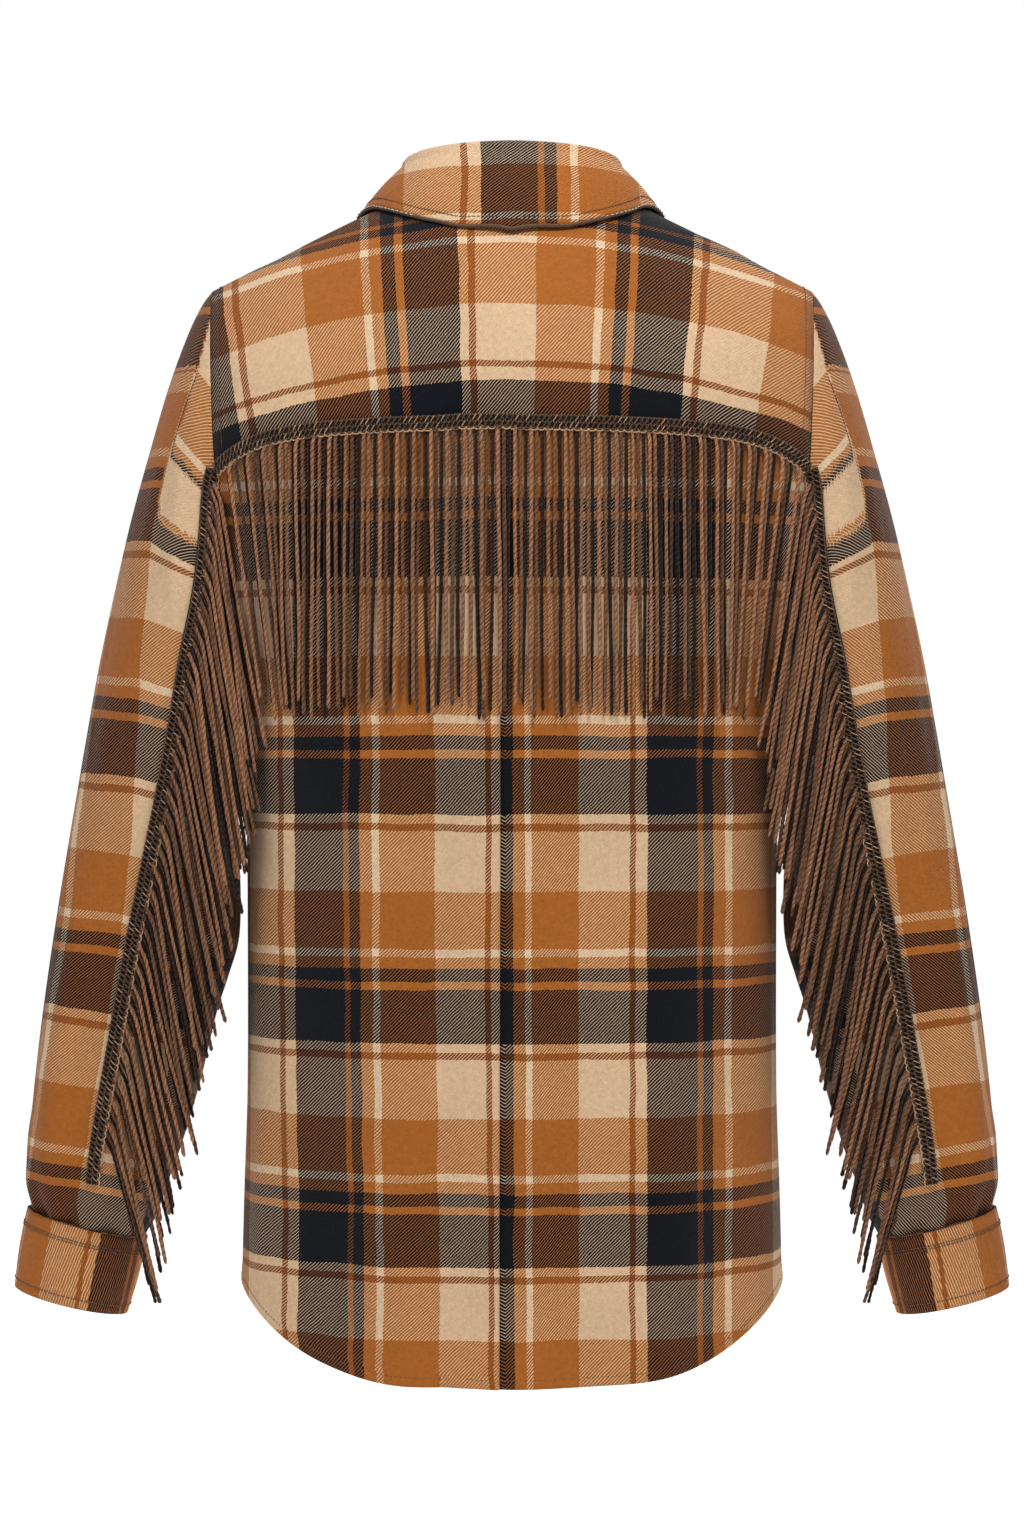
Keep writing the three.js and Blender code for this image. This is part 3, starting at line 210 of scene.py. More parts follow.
# Small creases of the sleeve: place and angle of both ends, height, half breadth in millimetres
SLEEVE_CREASES = [
    (3.2, 40, 6.4, 58, 1.6, 8), (4.5, 20, 8.6, 34, -1.5, 8), (6.8, 52, 9.4, 66, -1.3, 7),
    (7.4, 22, 10.6, 30, 1.5, 8), (9.2, 44, 12.2, 50, 1.4, 7), (10.2, 66, 13.4, 60, -1.3, 6),
    (11.4, 28, 14.2, 36, -1.5, 7), (12.0, 100, 14.4, 96, 1.3, 6), (8.6, 112, 11.4, 118, -1.2, 7),
    (5.4, 128, 8.2, 140, 1.3, 8), (3.8, 150, 6.6, 158, -1.3, 8), (12.4, 140, 14.4, 136, 1.3, 6),
    (2.6, 62, 4.8, 86, 1.1, 9), (1.2, 36, 3.2, 30, -1.1, 8), (9.6, 150, 12.6, 158, 1.2, 7),
    (13.0, 12, 14.6, 16, 1.3, 6), (4.2, 212, 7.4, 226, 1.5, 8), (6.2, 250, 9.6, 262, -1.4, 8),
    (8.4, 206, 11.8, 214, 1.3, 8), (9.8, 284, 12.8, 278, 1.4, 7), (11.4, 236, 14.2, 232, -1.4, 6),
    (3.4, 300, 6.2, 318, -1.2, 8), (7.2, 320, 10.4, 330, 1.4, 8), (12.2, 312, 14.4, 318, -1.3, 6),
]
# Gathers let into the cuff: angle round the wrist, height, half breadth in degrees
CUFF_GATHERS = [
    (24, 2.4, 7), (40, -2.0, 7), (58, 2.6, 7), (76, -2.0, 7), (96, 2.4, 8),
    (116, -2.1, 7), (136, 2.2, 7), (158, -1.8, 8), (188, 2.0, 8), (214, -1.8, 8),
    (238, 2.2, 8), (262, -1.8, 7), (300, 2.1, 8), (328, -1.8, 8),
]
GATHERS_START = 13.2
# The wrist is drawn in towards the cuff: by how much, from which place, over how many places
WRIST_DRAWN_IN = 3.2
WRIST_DRAWN_FROM = 14.2
WRIST_DRAWN_OVER = 0.8

# Cuff sections, in the columns of the sleeve's
CUFF_SECTIONS = [
    (0, 311.6, -637.1, 234.6, -657.1, 38.6, 38.6, 14),
    (1, 316, -662, 240.5, -681.5, 38, 38, 14.5),
    (2, 320, -687.5, 247.5, -705.5, 37, 37, 15),
]
CUFF_OVERLAP_ANGLE = 285
CUFF_OVERLAP = 26
CUFF_OVERLAP_LIFT = 2.5

# Fringe
BRAID_WIDTH = 9
BRAID_THICKNESS = 2.6
BRAID_LIFT = 0.4
BRAID_END_GAP = 2
BACK_CORDS = 104
BACK_CORDS_REACH = 174
BACK_CORD_END_Z = -320
BACK_CORD_LEAN_FROM = 120
BACK_CORD_LEAN = 7.7
SLEEVE_CORDS = 112
SLEEVE_CORDS_END = 12.9
SLEEVE_CORD_LENGTH = 172
SLEEVE_CORD_SHORTER = 4.4
SLEEVE_CORD_LEAN = 7.7
SLEEVE_CORD_LEAN_MORE = 0.45
CORD_RADIUS = 1.1
# Each cord is up to this much longer or shorter than its place in the row asks
CORD_UNEVEN = 8
CORD_CLEARANCE = 2.2
CORDS_OVER_BODY = 3
# Line of the braid down the sleeve: place, share of the way from the outer to the inner line
SLEEVE_BRAID_LINE = [
    (0, 0.49), (1, 0.53), (2, 0.61), (3, 0.64), (5, 0.6),
    (7, 0.55), (9, 0.49), (11, 0.49), (13, 0.5), (14, 0.54),
]
SLEEVE_BRAID_START = 0.12
SLEEVE_BRAID_END = 13.8

# Woven pattern: where each colour of the warp and the weft ends, in millimetres of one repeat
WARP_BANDS = [
    (31.0, "cream"), (34.6, "brown"), (41.9, "cream"), (72.9, "navy"), (76.5, "brown"),
    (83.2, "navy"), (90.5, "orange"), (95.3, "white"), (129.3, "orange"),
]
WEFT_BANDS = [
    (35.5, "orange"), (40.4, "white"), (47.4, "orange"), (55.9, "navy"), (60.5, "orange"),
    (94.2, "navy"), (99.7, "cream"), (103.6, "brown"), (140.3, "cream"),
]
WEFT_REPEAT = WEFT_BANDS[-1][0]
# Yarn colours as they look, before the display curve is taken out
YARN = {
    "cream": (0.875, 0.735, 0.585),
    "orange": (0.675, 0.395, 0.165),
    "navy": (0.065, 0.075, 0.105),
    "brown": (0.52, 0.285, 0.125),
    "white": (0.91, 0.80, 0.67),
}
DISPLAY_CURVE = 2.2


# Plain helpers
def mix(a, b, share):
    return a + (b - a) * share


def smooth(value):
    held = np.clip(value, 0, 1)
    return held * held * (3 - 2 * held)


def uneven(index, salt):
    wave = np.sin(np.asarray(index) * 12.9898 + salt * 78.233) * 43758.5453
    return 2 * (wave - np.floor(wave)) - 1


def points(x, y, z):
    return np.stack(np.broadcast_arrays(x, y, z), axis=-1).astype(float)


def unit(vectors):
    return vectors / np.maximum(np.linalg.norm(vectors, axis=-1, keepdims=True), 1e-9)


def read_table(table, place):
    """The columns after the first at any place between the rows, on a smooth curve."""
    rows = np.array(table, float)
    key = rows[:, 0]
    place = np.clip(np.asarray(place, float), key[0], key[-1])
    row = np.clip(np.searchsorted(key, place, side="right") - 1, 0, len(key) - 2)
    before = np.maximum(row - 1, 0)
    after = np.minimum(row + 2, len(key) - 1)
    span = (key[row + 1] - key[row])[..., None]
    share = (place - key[row])[..., None] / span
    slope_a = (rows[row + 1] - rows[before]) / (key[row + 1] - key[before])[..., None] * span
    slope_b = (rows[after] - rows[row]) / (key[after] - key[row])[..., None] * span
    s2 = share * share
    s3 = s2 * share
    result = (2 * s3 - 3 * s2 + 1) * rows[row] + (s3 - 2 * s2 + share) * slope_a
    result += (3 * s2 - 2 * s3) * rows[row + 1] + (s3 - s2) * slope_b
    return np.moveaxis(result[..., 1:], -1, 0)


def crease_height(creases, x, z):
    """Soft ridges and troughs, each along its own line and fading out at both ends."""
    height = np.zeros(np.broadcast(x, z).shape)
    for x0, z0, x1, z1, rise, breadth in creases:
        length = math.hypot(x1 - x0, z1 - z0)
        along = ((x - x0) * (x1 - x0) + (z - z0) * (z1 - z0)) / length
        across = ((x - x0) * (z1 - z0) - (z - z0) * (x1 - x0)) / length
        fade = smooth(along / (0.35 * length) + 0.3) * smooth((length - along) / (0.45 * length) + 0.3)
        height = height + rise * fade * np.exp(-((across / breadth) ** 2))
    return height


# Body form
def shoulder_height(x):
    from_crown = np.hypot(x, SHOULDER_CROWN) - math.hypot(NECK_HALF_WIDTH, SHOULDER_CROWN)
    return SHOULDER_AT_NECK - SHOULDER_SLOPE * from_crown


def armhole_x(z):
    return ARMHOLE_TOP_X + ARMHOLE_LEAN * (z - ARMHOLE_TOP_Z)


def yoke_seam_z(x):
    return YOKE_SEAM_Z - YOKE_SEAM_BOW * (x / 100) ** 2 - YOKE_SEAM_DROP * (np.abs(x) / 184) ** 9


def body_folds(folds, creases, x, z):
    share = smooth((FOLDS_START_Z - z) / (FOLDS_START_Z - FOLDS_FULL_Z))
    height = crease_height(creases, x, z)
    for place, rise, breadth in folds:
        height = height + rise * share * np.exp(-(((x - place) / breadth) ** 2))
    return height


def body_point(angle, z):
    """Point of the body at an angle round it, 0 at the centre back and pi at the centre front."""
    angle, z = np.broadcast_arrays(np.asarray(angle, float), np.asarray(z, float))
    half_width, back, front = read_table(TORSO_SECTIONS, z)
    behind = np.cos(angle) > 0
    x = half_width * np.sin(angle)
    fall = np.maximum(0, shoulder_height(x) - z)
    turn = np.arccos(np.clip(1 - fall / SHOULDER_ROUND, 0, 1))
    across = np.maximum(0, 1 - np.abs(np.sin(angle)) ** TORSO_SQUARENESS) ** (1 / TORSO_SQUARENESS)
    folds = np.where(
        behind, body_folds(BACK_FOLDS, BACK_CREASES, x, z), body_folds(FRONT_FOLDS, FRONT_CREASES, x, z)
    )
    depth = np.where(behind, back, front) * across * np.sin(turn) + folds * across
    return points(x, np.where(behind, -depth, depth), z)


def shoulder_point(x, over):
    """The same form by the distance over the shoulder: 0 on the shoulder line, positive down the back."""
    x, over = np.broadcast_arrays(np.asarray(x, float), np.asarray(over, float))
    quarter = SHOULDER_ROUND * math.pi / 2
    along = np.abs(over)
    turn = np.minimum(along, quarter) / SHOULDER_ROUND
    z = shoulder_height(x) - SHOULDER_ROUND * (1 - np.cos(turn)) - np.maximum(0, along - quarter)
    half_width, back, front = read_table(TORSO_SECTIONS, z)
    across = np.maximum(0, 1 - (np.abs(x) / half_width) ** TORSO_SQUARENESS) ** (1 / TORSO_SQUARENESS)
    depth = np.where(over > 0, back, front) * across * np.sin(turn)
    return points(x, np.where(over > 0, -depth, depth), z)


def over_from_height(x, z):
    fall = np.maximum(0, shoulder_height(x) - z)
    turned = SHOULDER_ROUND * np.arccos(np.clip(1 - fall / SHOULDER_ROUND, 0, 1))
    return np.where(fall < SHOULDER_ROUND, turned, SHOULDER_ROUND * math.pi / 2 + fall - SHOULDER_ROUND)


def angle_of(x, z):
    half_width = read_table(TORSO_SECTIONS, z)[0]
    return np.arcsin(np.clip(x / half_width, -1, 1))


def edge_angle(z):
    z = np.asarray(z, float)
    return np.where(z > ARMPIT_Z, angle_of(armhole_x(z), z), math.pi / 2)


def normal_of(surface, u, v, step_u, step_v):
    """Normal of a surface of two parameters, by small steps."""
    du = surface(u + step_u, v) - surface(u - step_u, v)
    dv = surface(u, v + step_v) - surface(u, v - step_v)
    return unit(np.cross(du, dv))


def body_normal(angle, z):
    return normal_of(body_point, np.asarray(angle, float), np.asarray(z, float), 0.01, 1.5)


def shoulder_normal(x, over):
    return -normal_of(shoulder_point, np.asarray(x, float), np.asarray(over, float), 0.5, 0.8)


def back_surface(x, z, lift):
    x, z = np.broadcast_arrays(np.asarray(x, float), np.asarray(z, float))
    angle = angle_of(x, z)
    return body_point(angle, z) + body_normal(angle, z) * np.asarray(lift, float)[..., None]


def hem_height(x, lowest):
    share = np.minimum(1, np.abs(x) / HEM_HALF_WIDTH) ** HEM_CURVE
    return lowest + (HEM_SIDE_Z - lowest) * share


def meet_line(column_x, line, start):
    """Height where a column meets a line across the body, found by going back and forth."""
    z = float(start)
    for _ in range(14):
        z = float(line(column_x(z)))
    return z


def pleat_top(x):
    """How far the folded layers raise the surface over the plain back."""
    top = 2 * (PLEAT_CLOTH + PLEAT_AIR)
    left = top * smooth((x - PLEAT_LEFT_X) / (-29 - PLEAT_LEFT_X))
    right = top * (1 - smooth((x - PLEAT_EDGE_X - 2) / 12))
    return np.where(x < PLEAT_EDGE_X + 2, left, right)


# Sleeve form of the right-hand side, with 0 on its outer line and a quarter turn at its back
def tube_point(table, at, angle):
    outer_x, outer_z, inner_x, inner_z, back, front, middle_y = read_table(table, at)
    share = (1 - np.cos(angle)) / 2
    depth = np.where(np.sin(angle) > 0, back, front)
    return points(
        mix(outer_x, inner_x, share), middle_y - depth * np.sin(angle), mix(outer_z, inner_z, share)
    )


def tube_out(table, at, angle):
    outer_x, outer_z, inner_x, inner_z = read_table(table, at)[:4]
    axis = unit(points(outer_x - inner_x, 0, outer_z - inner_z))
    angle = np.asarray(angle, float)
    return axis * np.cos(angle)[..., None] + points(0, -np.sin(angle), 0)


def armhole_share(angle):
    """Depth of the armhole at an angle round it, as a share of the sleeve's first section."""
    z = mix(shoulder_height(ARMHOLE_TOP_X), ARMPIT_Z, (1 - np.cos(angle)) / 2)
    edge = angle_of(armhole_x(z), z)
    behind = np.sin(angle) > 0
    depth = np.where(behind, SLEEVE_SECTIONS[0][5], SLEEVE_SECTIONS[0][6])
    return -body_point(np.where(behind, edge, math.pi - edge), z)[..., 1] / depth


def turn_apart(degrees, place):
    off = degrees - place
    return off - 360 * np.round(off / 360)


def sleeve_folds(at, degrees):
    height = 0
    end = smooth((SLEEVE_END - at) / (SLEEVE_END - SLEEVE_FOLDS_END + 1))
    for place, rise, breadth, start, full in SLEEVE_FOLDS:
        share = smooth((at - start) / (full - start))
        height = height + rise * share * end * np.exp(-((turn_apart(degrees, place) / breadth) ** 2))
    gathered = smooth((at - GATHERS_START) / (SLEEVE_END - 0.25 - GATHERS_START))
    for place, rise, breadth in CUFF_GATHERS:
        height = height + rise * gathered * np.exp(-((turn_apart(degrees, place) / breadth) ** 2))
    return height - WRIST_DRAWN_IN * smooth((at - WRIST_DRAWN_FROM) / WRIST_DRAWN_OVER)


# For its small creases, one place along the sleeve and one degree round it are taken as so many millimetres
SLEEVE_STEP = 38.0
SLEEVE_ARC = 1.15


def sleeve_point(at, angle):
    at, angle = np.broadcast_arrays(np.asarray(at, float), np.asarray(angle, float))
    held = np.clip(at, 0, SLEEVE_END)
    back, front = read_table(SLEEVE_SECTIONS, held)[4:6]
    point = tube_point(SLEEVE_SECTIONS, held, angle)
    depth = np.where(np.sin(angle) > 0, back, front)
    change = armhole_share(angle) - np.sin(angle)
    point[..., 1] -= depth * change * (1 - smooth(held / SLEEVE_HEAD_END))
    point[..., 0] += ARMHOLE_GAP * (1 - smooth(held))
    degrees = np.degrees(angle) % 360
    small = crease_height(
        [
            (a0 * SLEEVE_STEP, d0 * SLEEVE_ARC, a1 * SLEEVE_STEP, d1 * SLEEVE_ARC, rise, breadth)
            for a0, d0, a1, d1, rise, breadth in SLEEVE_CREASES
        ],
        held * SLEEVE_STEP,
        degrees * SLEEVE_ARC,
    )
    height = sleeve_folds(held, degrees) + small * smooth(held)
    return point + tube_out(SLEEVE_SECTIONS, held, angle) * height[..., None]


def sleeve_normal(at, angle):
    at, angle = np.broadcast_arrays(np.asarray(at, float), np.asarray(angle, float))
    further = np.minimum(at + 0.15, SLEEVE_END)
    nearer = np.maximum(at - 0.15, 0)
    du = sleeve_point(further, angle) - sleeve_point(nearer, angle)
    dv = sleeve_point(at, angle + 0.06) - sleeve_point(at, angle - 0.06)
    return -unit(np.cross(du, dv))


def braid_angle(at):
    share = read_table(SLEEVE_BRAID_LINE, at)[0]
    return np.arccos(1 - 2 * share)


def sleeve_radius(at):
    outer_x, outer_z, inner_x, inner_z = read_table(SLEEVE_SECTIONS, at)[:4]
    return np.hypot(outer_x - inner_x, outer_z - inner_z) / 2


# Meshes from arrays
def quad_mesh(name, vertices, quads, fields=()):
    """A smooth mesh of four-sided faces, with named values at its vertices."""
    mesh = bpy.data.meshes.new(name)
    mesh.vertices.add(len(vertices))
    mesh.vertices.foreach_set("co", np.asarray(vertices * METRES, np.float32).ravel())
    mesh.loops.add(quads.size)
    mesh.loops.foreach_set("vertex_index", np.asarray(quads, np.int32).ravel())
    mesh.polygons.add(len(quads))
    mesh.polygons.foreach_set("loop_start", np.arange(0, quads.size, 4, dtype=np.int32))
    mesh.update(calc_edges=True)
    for field, values in fields:
        values = np.asarray(values, np.float32)
        kind = "FLOAT_VECTOR" if values.ndim == 2 else "FLOAT"
        entry = "vector" if values.ndim == 2 else "value"
        mesh.attributes.new(field, kind, "POINT").data.foreach_set(entry, values.ravel())
    mesh.shade_smooth()
    piece = bpy.data.objects.new(name, mesh)
    bpy.context.scene.collection.objects.link(piece)
    return piece


def grid_normal(grid, wrap):
    if wrap:
        across = np.roll(grid, -1, axis=1) - np.roll(grid, 1, axis=1)
    else:
        across = np.gradient(grid, axis=1)
    return unit(np.cross(across, np.gradient(grid, axis=0)))


def grid_quads(rows, columns, wrap):
    """Corners of the faces of a grid, row by row."""
    row, column = np.meshgrid(np.arange(rows - 1), np.arange(columns if wrap else columns - 1), indexing="ij")
    beside = (column + 1) % columns
    low, high = row * columns, (row + 1) * columns
    corners = [low + column, low + beside, high + beside, high + column]
    return np.stack([corner.ravel() for corner in corners], axis=-1)


def rim_quads(rows, columns, wrap, inner_start):
    """Faces that close the edges between the two sides of a cloth wall."""
    around = np.arange(columns if wrap else columns - 1)
    first, second = around, (around + 1) % columns
    last_first, last_second = first + (rows - 1) * columns, second + (rows - 1) * columns
    strips = [
        (second, first, first + inner_start, second + inner_start),
        (last_first, last_second, last_second + inner_start, last_first + inner_start),
    ]
    if not wrap:
        low, high = np.arange(rows - 1) * columns, np.arange(1, rows) * columns
        strips.append((low, high, high + inner_start, low + inner_start))
        low, high = low + columns - 1, high + columns - 1
        strips.append((high, low, low + inner_start, high + inner_start))
    return np.concatenate([np.stack(strip, axis=-1) for strip in strips])


# Points inside the form, seen from which each cloth's outer side faces away
INSIDE_BODY = np.array([0, 0, -430.0])
INSIDE_FRONT = np.array([0, 0, -400.0])
INSIDE_YOKE = np.array([0, 0, -160.0])
INSIDE_NECK = np.array([0, 0, 0.0])
INSIDE_COLLAR = np.array([0, 0, -20.0])


def cloth_wall(name, grid, cloth, thickness=CLOTH, wrap=False, inside=None):
    """A thin closed wall under a grid of surface points. cloth holds each point's place in the weave:
    across the warp, down the weft, and what the twill adds to their sum."""
    normal = grid_normal(grid, wrap)
    centre = grid.reshape(-1, 3).mean(axis=0) if inside is None else inside
    turned = np.sum((grid - centre) * normal) < 0
    if turned:
        normal = -normal
    rows, columns = grid.shape[:2]
    inner_start = rows * columns
    outer_faces = grid_quads(rows, columns, wrap)
    faces = np.concatenate([
        outer_faces, outer_faces[:, ::-1] + inner_start, rim_quads(rows, columns, wrap, inner_start)
    ])
    if turned:
        faces = faces[:, ::-1]
    vertices = np.concatenate([grid.reshape(-1, 3), (grid - normal * thickness).reshape(-1, 3)])
    cloth = np.broadcast_to(cloth, grid.shape).reshape(-1, 3)
    return quad_mesh(name, vertices, faces, [("cloth", np.concatenate([cloth, cloth]))])


def tube_set(name, paths, radius, sides, shade=None, facing=(0.0, -1.0, 0.0), joined=None):
    """Many tubes of the same number of points as one mesh. radius is one number or has a value for each
    path, ring and side. joined collects the arrays instead of making the piece."""
    paths = np.asarray(paths, float)
    count, rings = paths.shape[:2]
    along = unit(np.gradient(paths, axis=1))
    facing = np.broadcast_to(np.asarray(facing, float), paths.shape)
    across = unit(np.cross(along, facing))
    up = np.cross(across, along)
    turn = np.arange(sides) * 2 * math.pi / sides
    radius = np.broadcast_to(radius, (count, rings, sides))[..., None]
    ring = across[:, :, None] * np.cos(turn)[:, None] + up[:, :, None] * np.sin(turn)[:, None]
    vertices = (paths[:, :, None] + ring * radius).reshape(-1, 3)
    start = (np.arange(count) * rings * sides)[:, None]
    quads = [(grid_quads(rings, sides, True)[None] + start[..., None]).reshape(-1, 4)[:, ::-1]]
    for first in range(1, sides - 2, 2):
        cap = np.array([0, first, first + 1, first + 2])
        quads.append(cap[None] + start)
        quads.append(cap[::-1][None] + start + (rings - 1) * sides)
    quads = np.concatenate(quads)
    shade = 0.0 if shade is None else np.asarray(shade, float)
    steps = np.linalg.norm(np.diff(paths, axis=1), axis=-1)
    run = np.concatenate([np.zeros((count, 1)), np.cumsum(steps, axis=1)], axis=1)
    round_it = 1 - np.abs(2 * np.arange(sides) / sides - 1)
    yarn = points(run[:, :, None], round_it, np.broadcast_to(shade, (count,))[:, None, None]).reshape(-1, 3)
    if joined is not None:
        joined.append((vertices, quads, yarn))
        return None
    return quad_mesh(name, vertices, quads, [("yarn", yarn)])


def join_tubes(name, sets):
    """One piece from several sets of tubes."""
    offset = 0
    vertices, quads, yarns = [], [], []
    for points_of, quads_of, yarn_of in sets:
        vertices.append(points_of)
        quads.append(quads_of + offset)
        yarns.append(yarn_of)
        offset += len(points_of)
    return quad_mesh(name, np.concatenate(vertices), np.concatenate(quads), [("yarn", np.concatenate(yarns))])


def along_path(path, pitch):
    """Evenly spaced places on a path: the points and their direction."""
    steps = np.linalg.norm(np.diff(path, axis=0), axis=1)
    length = np.concatenate([[0], np.cumsum(steps)])
    places = np.arange(pitch / 2, length[-1] - pitch / 4, pitch)
    point = np.stack([np.interp(places, length, path[:, axis]) for axis in range(3)], axis=-1)
    ahead = np.stack([np.interp(places + 0.5, length, path[:, axis]) for axis in range(3)], axis=-1)
    behind = np.stack([np.interp(places - 0.5, length, path[:, axis]) for axis in range(3)], axis=-1)
    return point, unit(ahead - behind)


STITCH_PITCH = 3.0
STITCH_LENGTH = 2.3
STITCH_RADIUS = 0.24
THREADS = []


def stitch_row(
    path, outward, pitch=STITCH_PITCH, length=STITCH_LENGTH, lift=0.1, shade=0.0, radius=STITCH_RADIUS
):
    """A row of short sunk stitches along a line on the cloth. outward points away from the cloth."""
    point, along = along_path(np.asarray(path, float), pitch)
    share = np.linspace(0, 1, len(point))
    places = np.linspace(0, 1, len(outward))
    outward = np.asarray(outward)
    out = unit(np.stack([np.interp(share, places, outward[:, axis]) for axis in range(3)], axis=-1))
    bend = [(-0.5, -0.35), (-0.22, 0.12), (0.22, 0.12), (0.5, -0.35)]
    paths = np.stack([point + along * length * along_by + out * (lift + up) for along_by, up in bend], axis=1)
    facing = np.repeat(out[:, None], len(bend), axis=1)
    shade = shade + 0.15 * uneven(np.arange(len(point)), 5)
    tube_set("", paths, radius, 4, shade=shade, facing=facing, joined=THREADS)


def mirrored(grid, side):
    return grid * np.array([side, 1, 1])


# Places of the cloth in the woven repeat, across the warp and down the weft
# Body rows: height, place down the weft
BODY_ROWS = [(-842, 4), (-702, 3), (-568.3, 2), (-430.5, 1), (-287.2, 0), (-142, -1), (0, -2)]
BODY_WARP_START = 40.4


def body_cloth(across, z, side=1):
    rows = np.array(BODY_ROWS)
    down = np.interp(z, rows[:, 0], rows[:, 1]) * WEFT_REPEAT
    return points(across * side - BODY_WARP_START, down, 0)


# The woven pattern keeps its breadth as seen from behind up to here, and turns with the cloth at the sides
PATTERN_FLAT_X = 152
PATTERN_TURNS = 14
PLEAT_PATTERN_X = 46


def across_arc(grid, middle, seen_flat=False):
    """Distance along each row of a grid from its middle column."""
    steps = np.linalg.norm(np.diff(grid, axis=1), axis=-1)
    if seen_flat:
        place = np.abs(grid[:, 1:, 0] + grid[:, :-1, 0]) / 2
        turned = np.where(place < PLEAT_PATTERN_X, 1, smooth((place - PATTERN_FLAT_X) / PATTERN_TURNS))
        steps = mix(np.abs(np.diff(grid[..., 0], axis=1)), steps, turned)
    arc = np.concatenate([np.zeros((len(grid), 1)), np.cumsum(steps, axis=1)], axis=1)
    return arc - arc[:, middle:middle + 1]


# Back panel
def pleat_profile():
    """Columns across the folded pleat, each with its place across and its lift."""
    half = PLEAT_CLOTH / 2
    layer = PLEAT_CLOTH + PLEAT_AIR
    turn_outer = half + layer / 2
    turn_inner = turn_outer - PLEAT_CLOTH
    edge_x = PLEAT_EDGE_X - turn_outer
    back_x = edge_x - PLEAT_DEPTH
    edge_lift = layer - half + layer / 2
    back_lift = edge_lift - layer
    columns = [(x, float(pleat_top(x))) for x in np.linspace(-44, edge_x - 3, 18)]
    turn = np.radians([90, 60, 30, 0, -30, -60, -90])
    columns += [(edge_x + turn_outer * math.cos(a), edge_lift + turn_outer * math.sin(a)) for a in turn]
    columns += [(x, edge_lift - turn_outer) for x in np.linspace(edge_x - 4, back_x + 4, 3)]
    turn = np.radians([90, 135, 180, 225, 270])
    columns += [(back_x + turn_inner * math.cos(a), back_lift + turn_inner * math.sin(a)) for a in turn]
    columns += [(x, 0.0) for x in np.linspace(back_x + 6, -8, 4)]
    columns += [(x, 0.0) for x in np.linspace(-4, PLEAT_RIGHT_X, 14)]
    return columns


SIDE_START_X = 46
SIDE_COLUMNS = 40


def side_column_x(start_x, step, z):
    half_width = read_table(TORSO_SECTIONS, z)[0]
    start = np.arcsin(start_x / half_width)
    return half_width * np.sin(mix(start, edge_angle(z), step))


def panel_rows(count, crowded=7):
    """Shares up a panel, with narrow rows at the turned hem."""
    hem = np.linspace(0, 0.022, crowded)[:-1]
    return np.concatenate([hem, np.linspace(0.022, 1, count)])


def hem_lift(z, hem):
    """The turned hem stands a little proud, with a dip along its stitching."""
    above = z - hem
    proud = 0.55 * (1 - smooth((above - HEM_TURN) / 2.5))
    return proud - 0.45 * np.exp(-(((above - HEM_TURN + 1) / 0.9) ** 2))


def back_panel():
    profile = pleat_profile()
    rows = panel_rows(120)
    columns = []
    for step in np.linspace(1, 0, SIDE_COLUMNS):
        columns.append((-1, step))
    columns += [(0, entry) for entry in profile]
    for step in np.linspace(0, 1, SIDE_COLUMNS):
        columns.append((1, step))
    grid = np.zeros((len(rows), len(columns), 3))
    for place, (side, value) in enumerate(columns):
        if side:
            column_x = lambda z: side_column_x(SIDE_START_X, value, z)
        else:
            column_x = lambda z: value[0]
        hem = meet_line(column_x, lambda x: hem_height(x, HEM_BACK_Z), HEM_GUESS_Z)
        top = meet_line(column_x, lambda x: yoke_seam_z(x) - SEAM_GAP / 2, SEAM_GUESS_Z)
        z = mix(hem, top, rows)
        lift = hem_lift(z, hem)
        if side:
            angle = edge_angle(z) if value == 1 else angle_of(column_x(z), z)
            angle = angle * side
        else:
            angle = angle_of(value[0], z)
            lift = lift * (1 if value[1] > 3 or value[0] > -6 else 0) + value[1]
        grid[:, place] = body_point(angle, z) + body_normal(angle, z) * np.asarray(lift)[..., None]
    arc = across_arc(grid, len(columns) // 2, seen_flat=True)
    last = SIDE_COLUMNS + len(profile) - 1
    centre_arc = arc[:, last:last + 1] - PLEAT_RIGHT_X
    across = arc - centre_arc
    shift = PLEAT_SHIFT * (1 - smooth((across - 2) / PLEAT_SHIFT_FADE)) * (across > -6)
    cloth = body_cloth(across - shift, grid[..., 2])
    return cloth_wall("back_panel_cloth", grid, cloth, inside=INSIDE_BODY)


# Fronts and placket
FRONT_NECK_COLUMNS = np.linspace(0, 63, 16)
FRONT_SEAM_COLUMNS = np.linspace(66, ARMHOLE_TOP_X, 30)


def front_neck_height(x):
    seam_z = shoulder_point(YOKE_NECK_CORNER_X, -YOKE_FORWARD)[2]
    return mix(NECK_FRONT_Z, seam_z, np.minimum(1, np.abs(x) / YOKE_NECK_CORNER_X) ** 2.6)


def front_top_height(x):
    if abs(x) < YOKE_NECK_CORNER_X:
        return float(front_neck_height(x))
    return float(shoulder_point(abs(x), -YOKE_FORWARD - SEAM_GAP)[2])


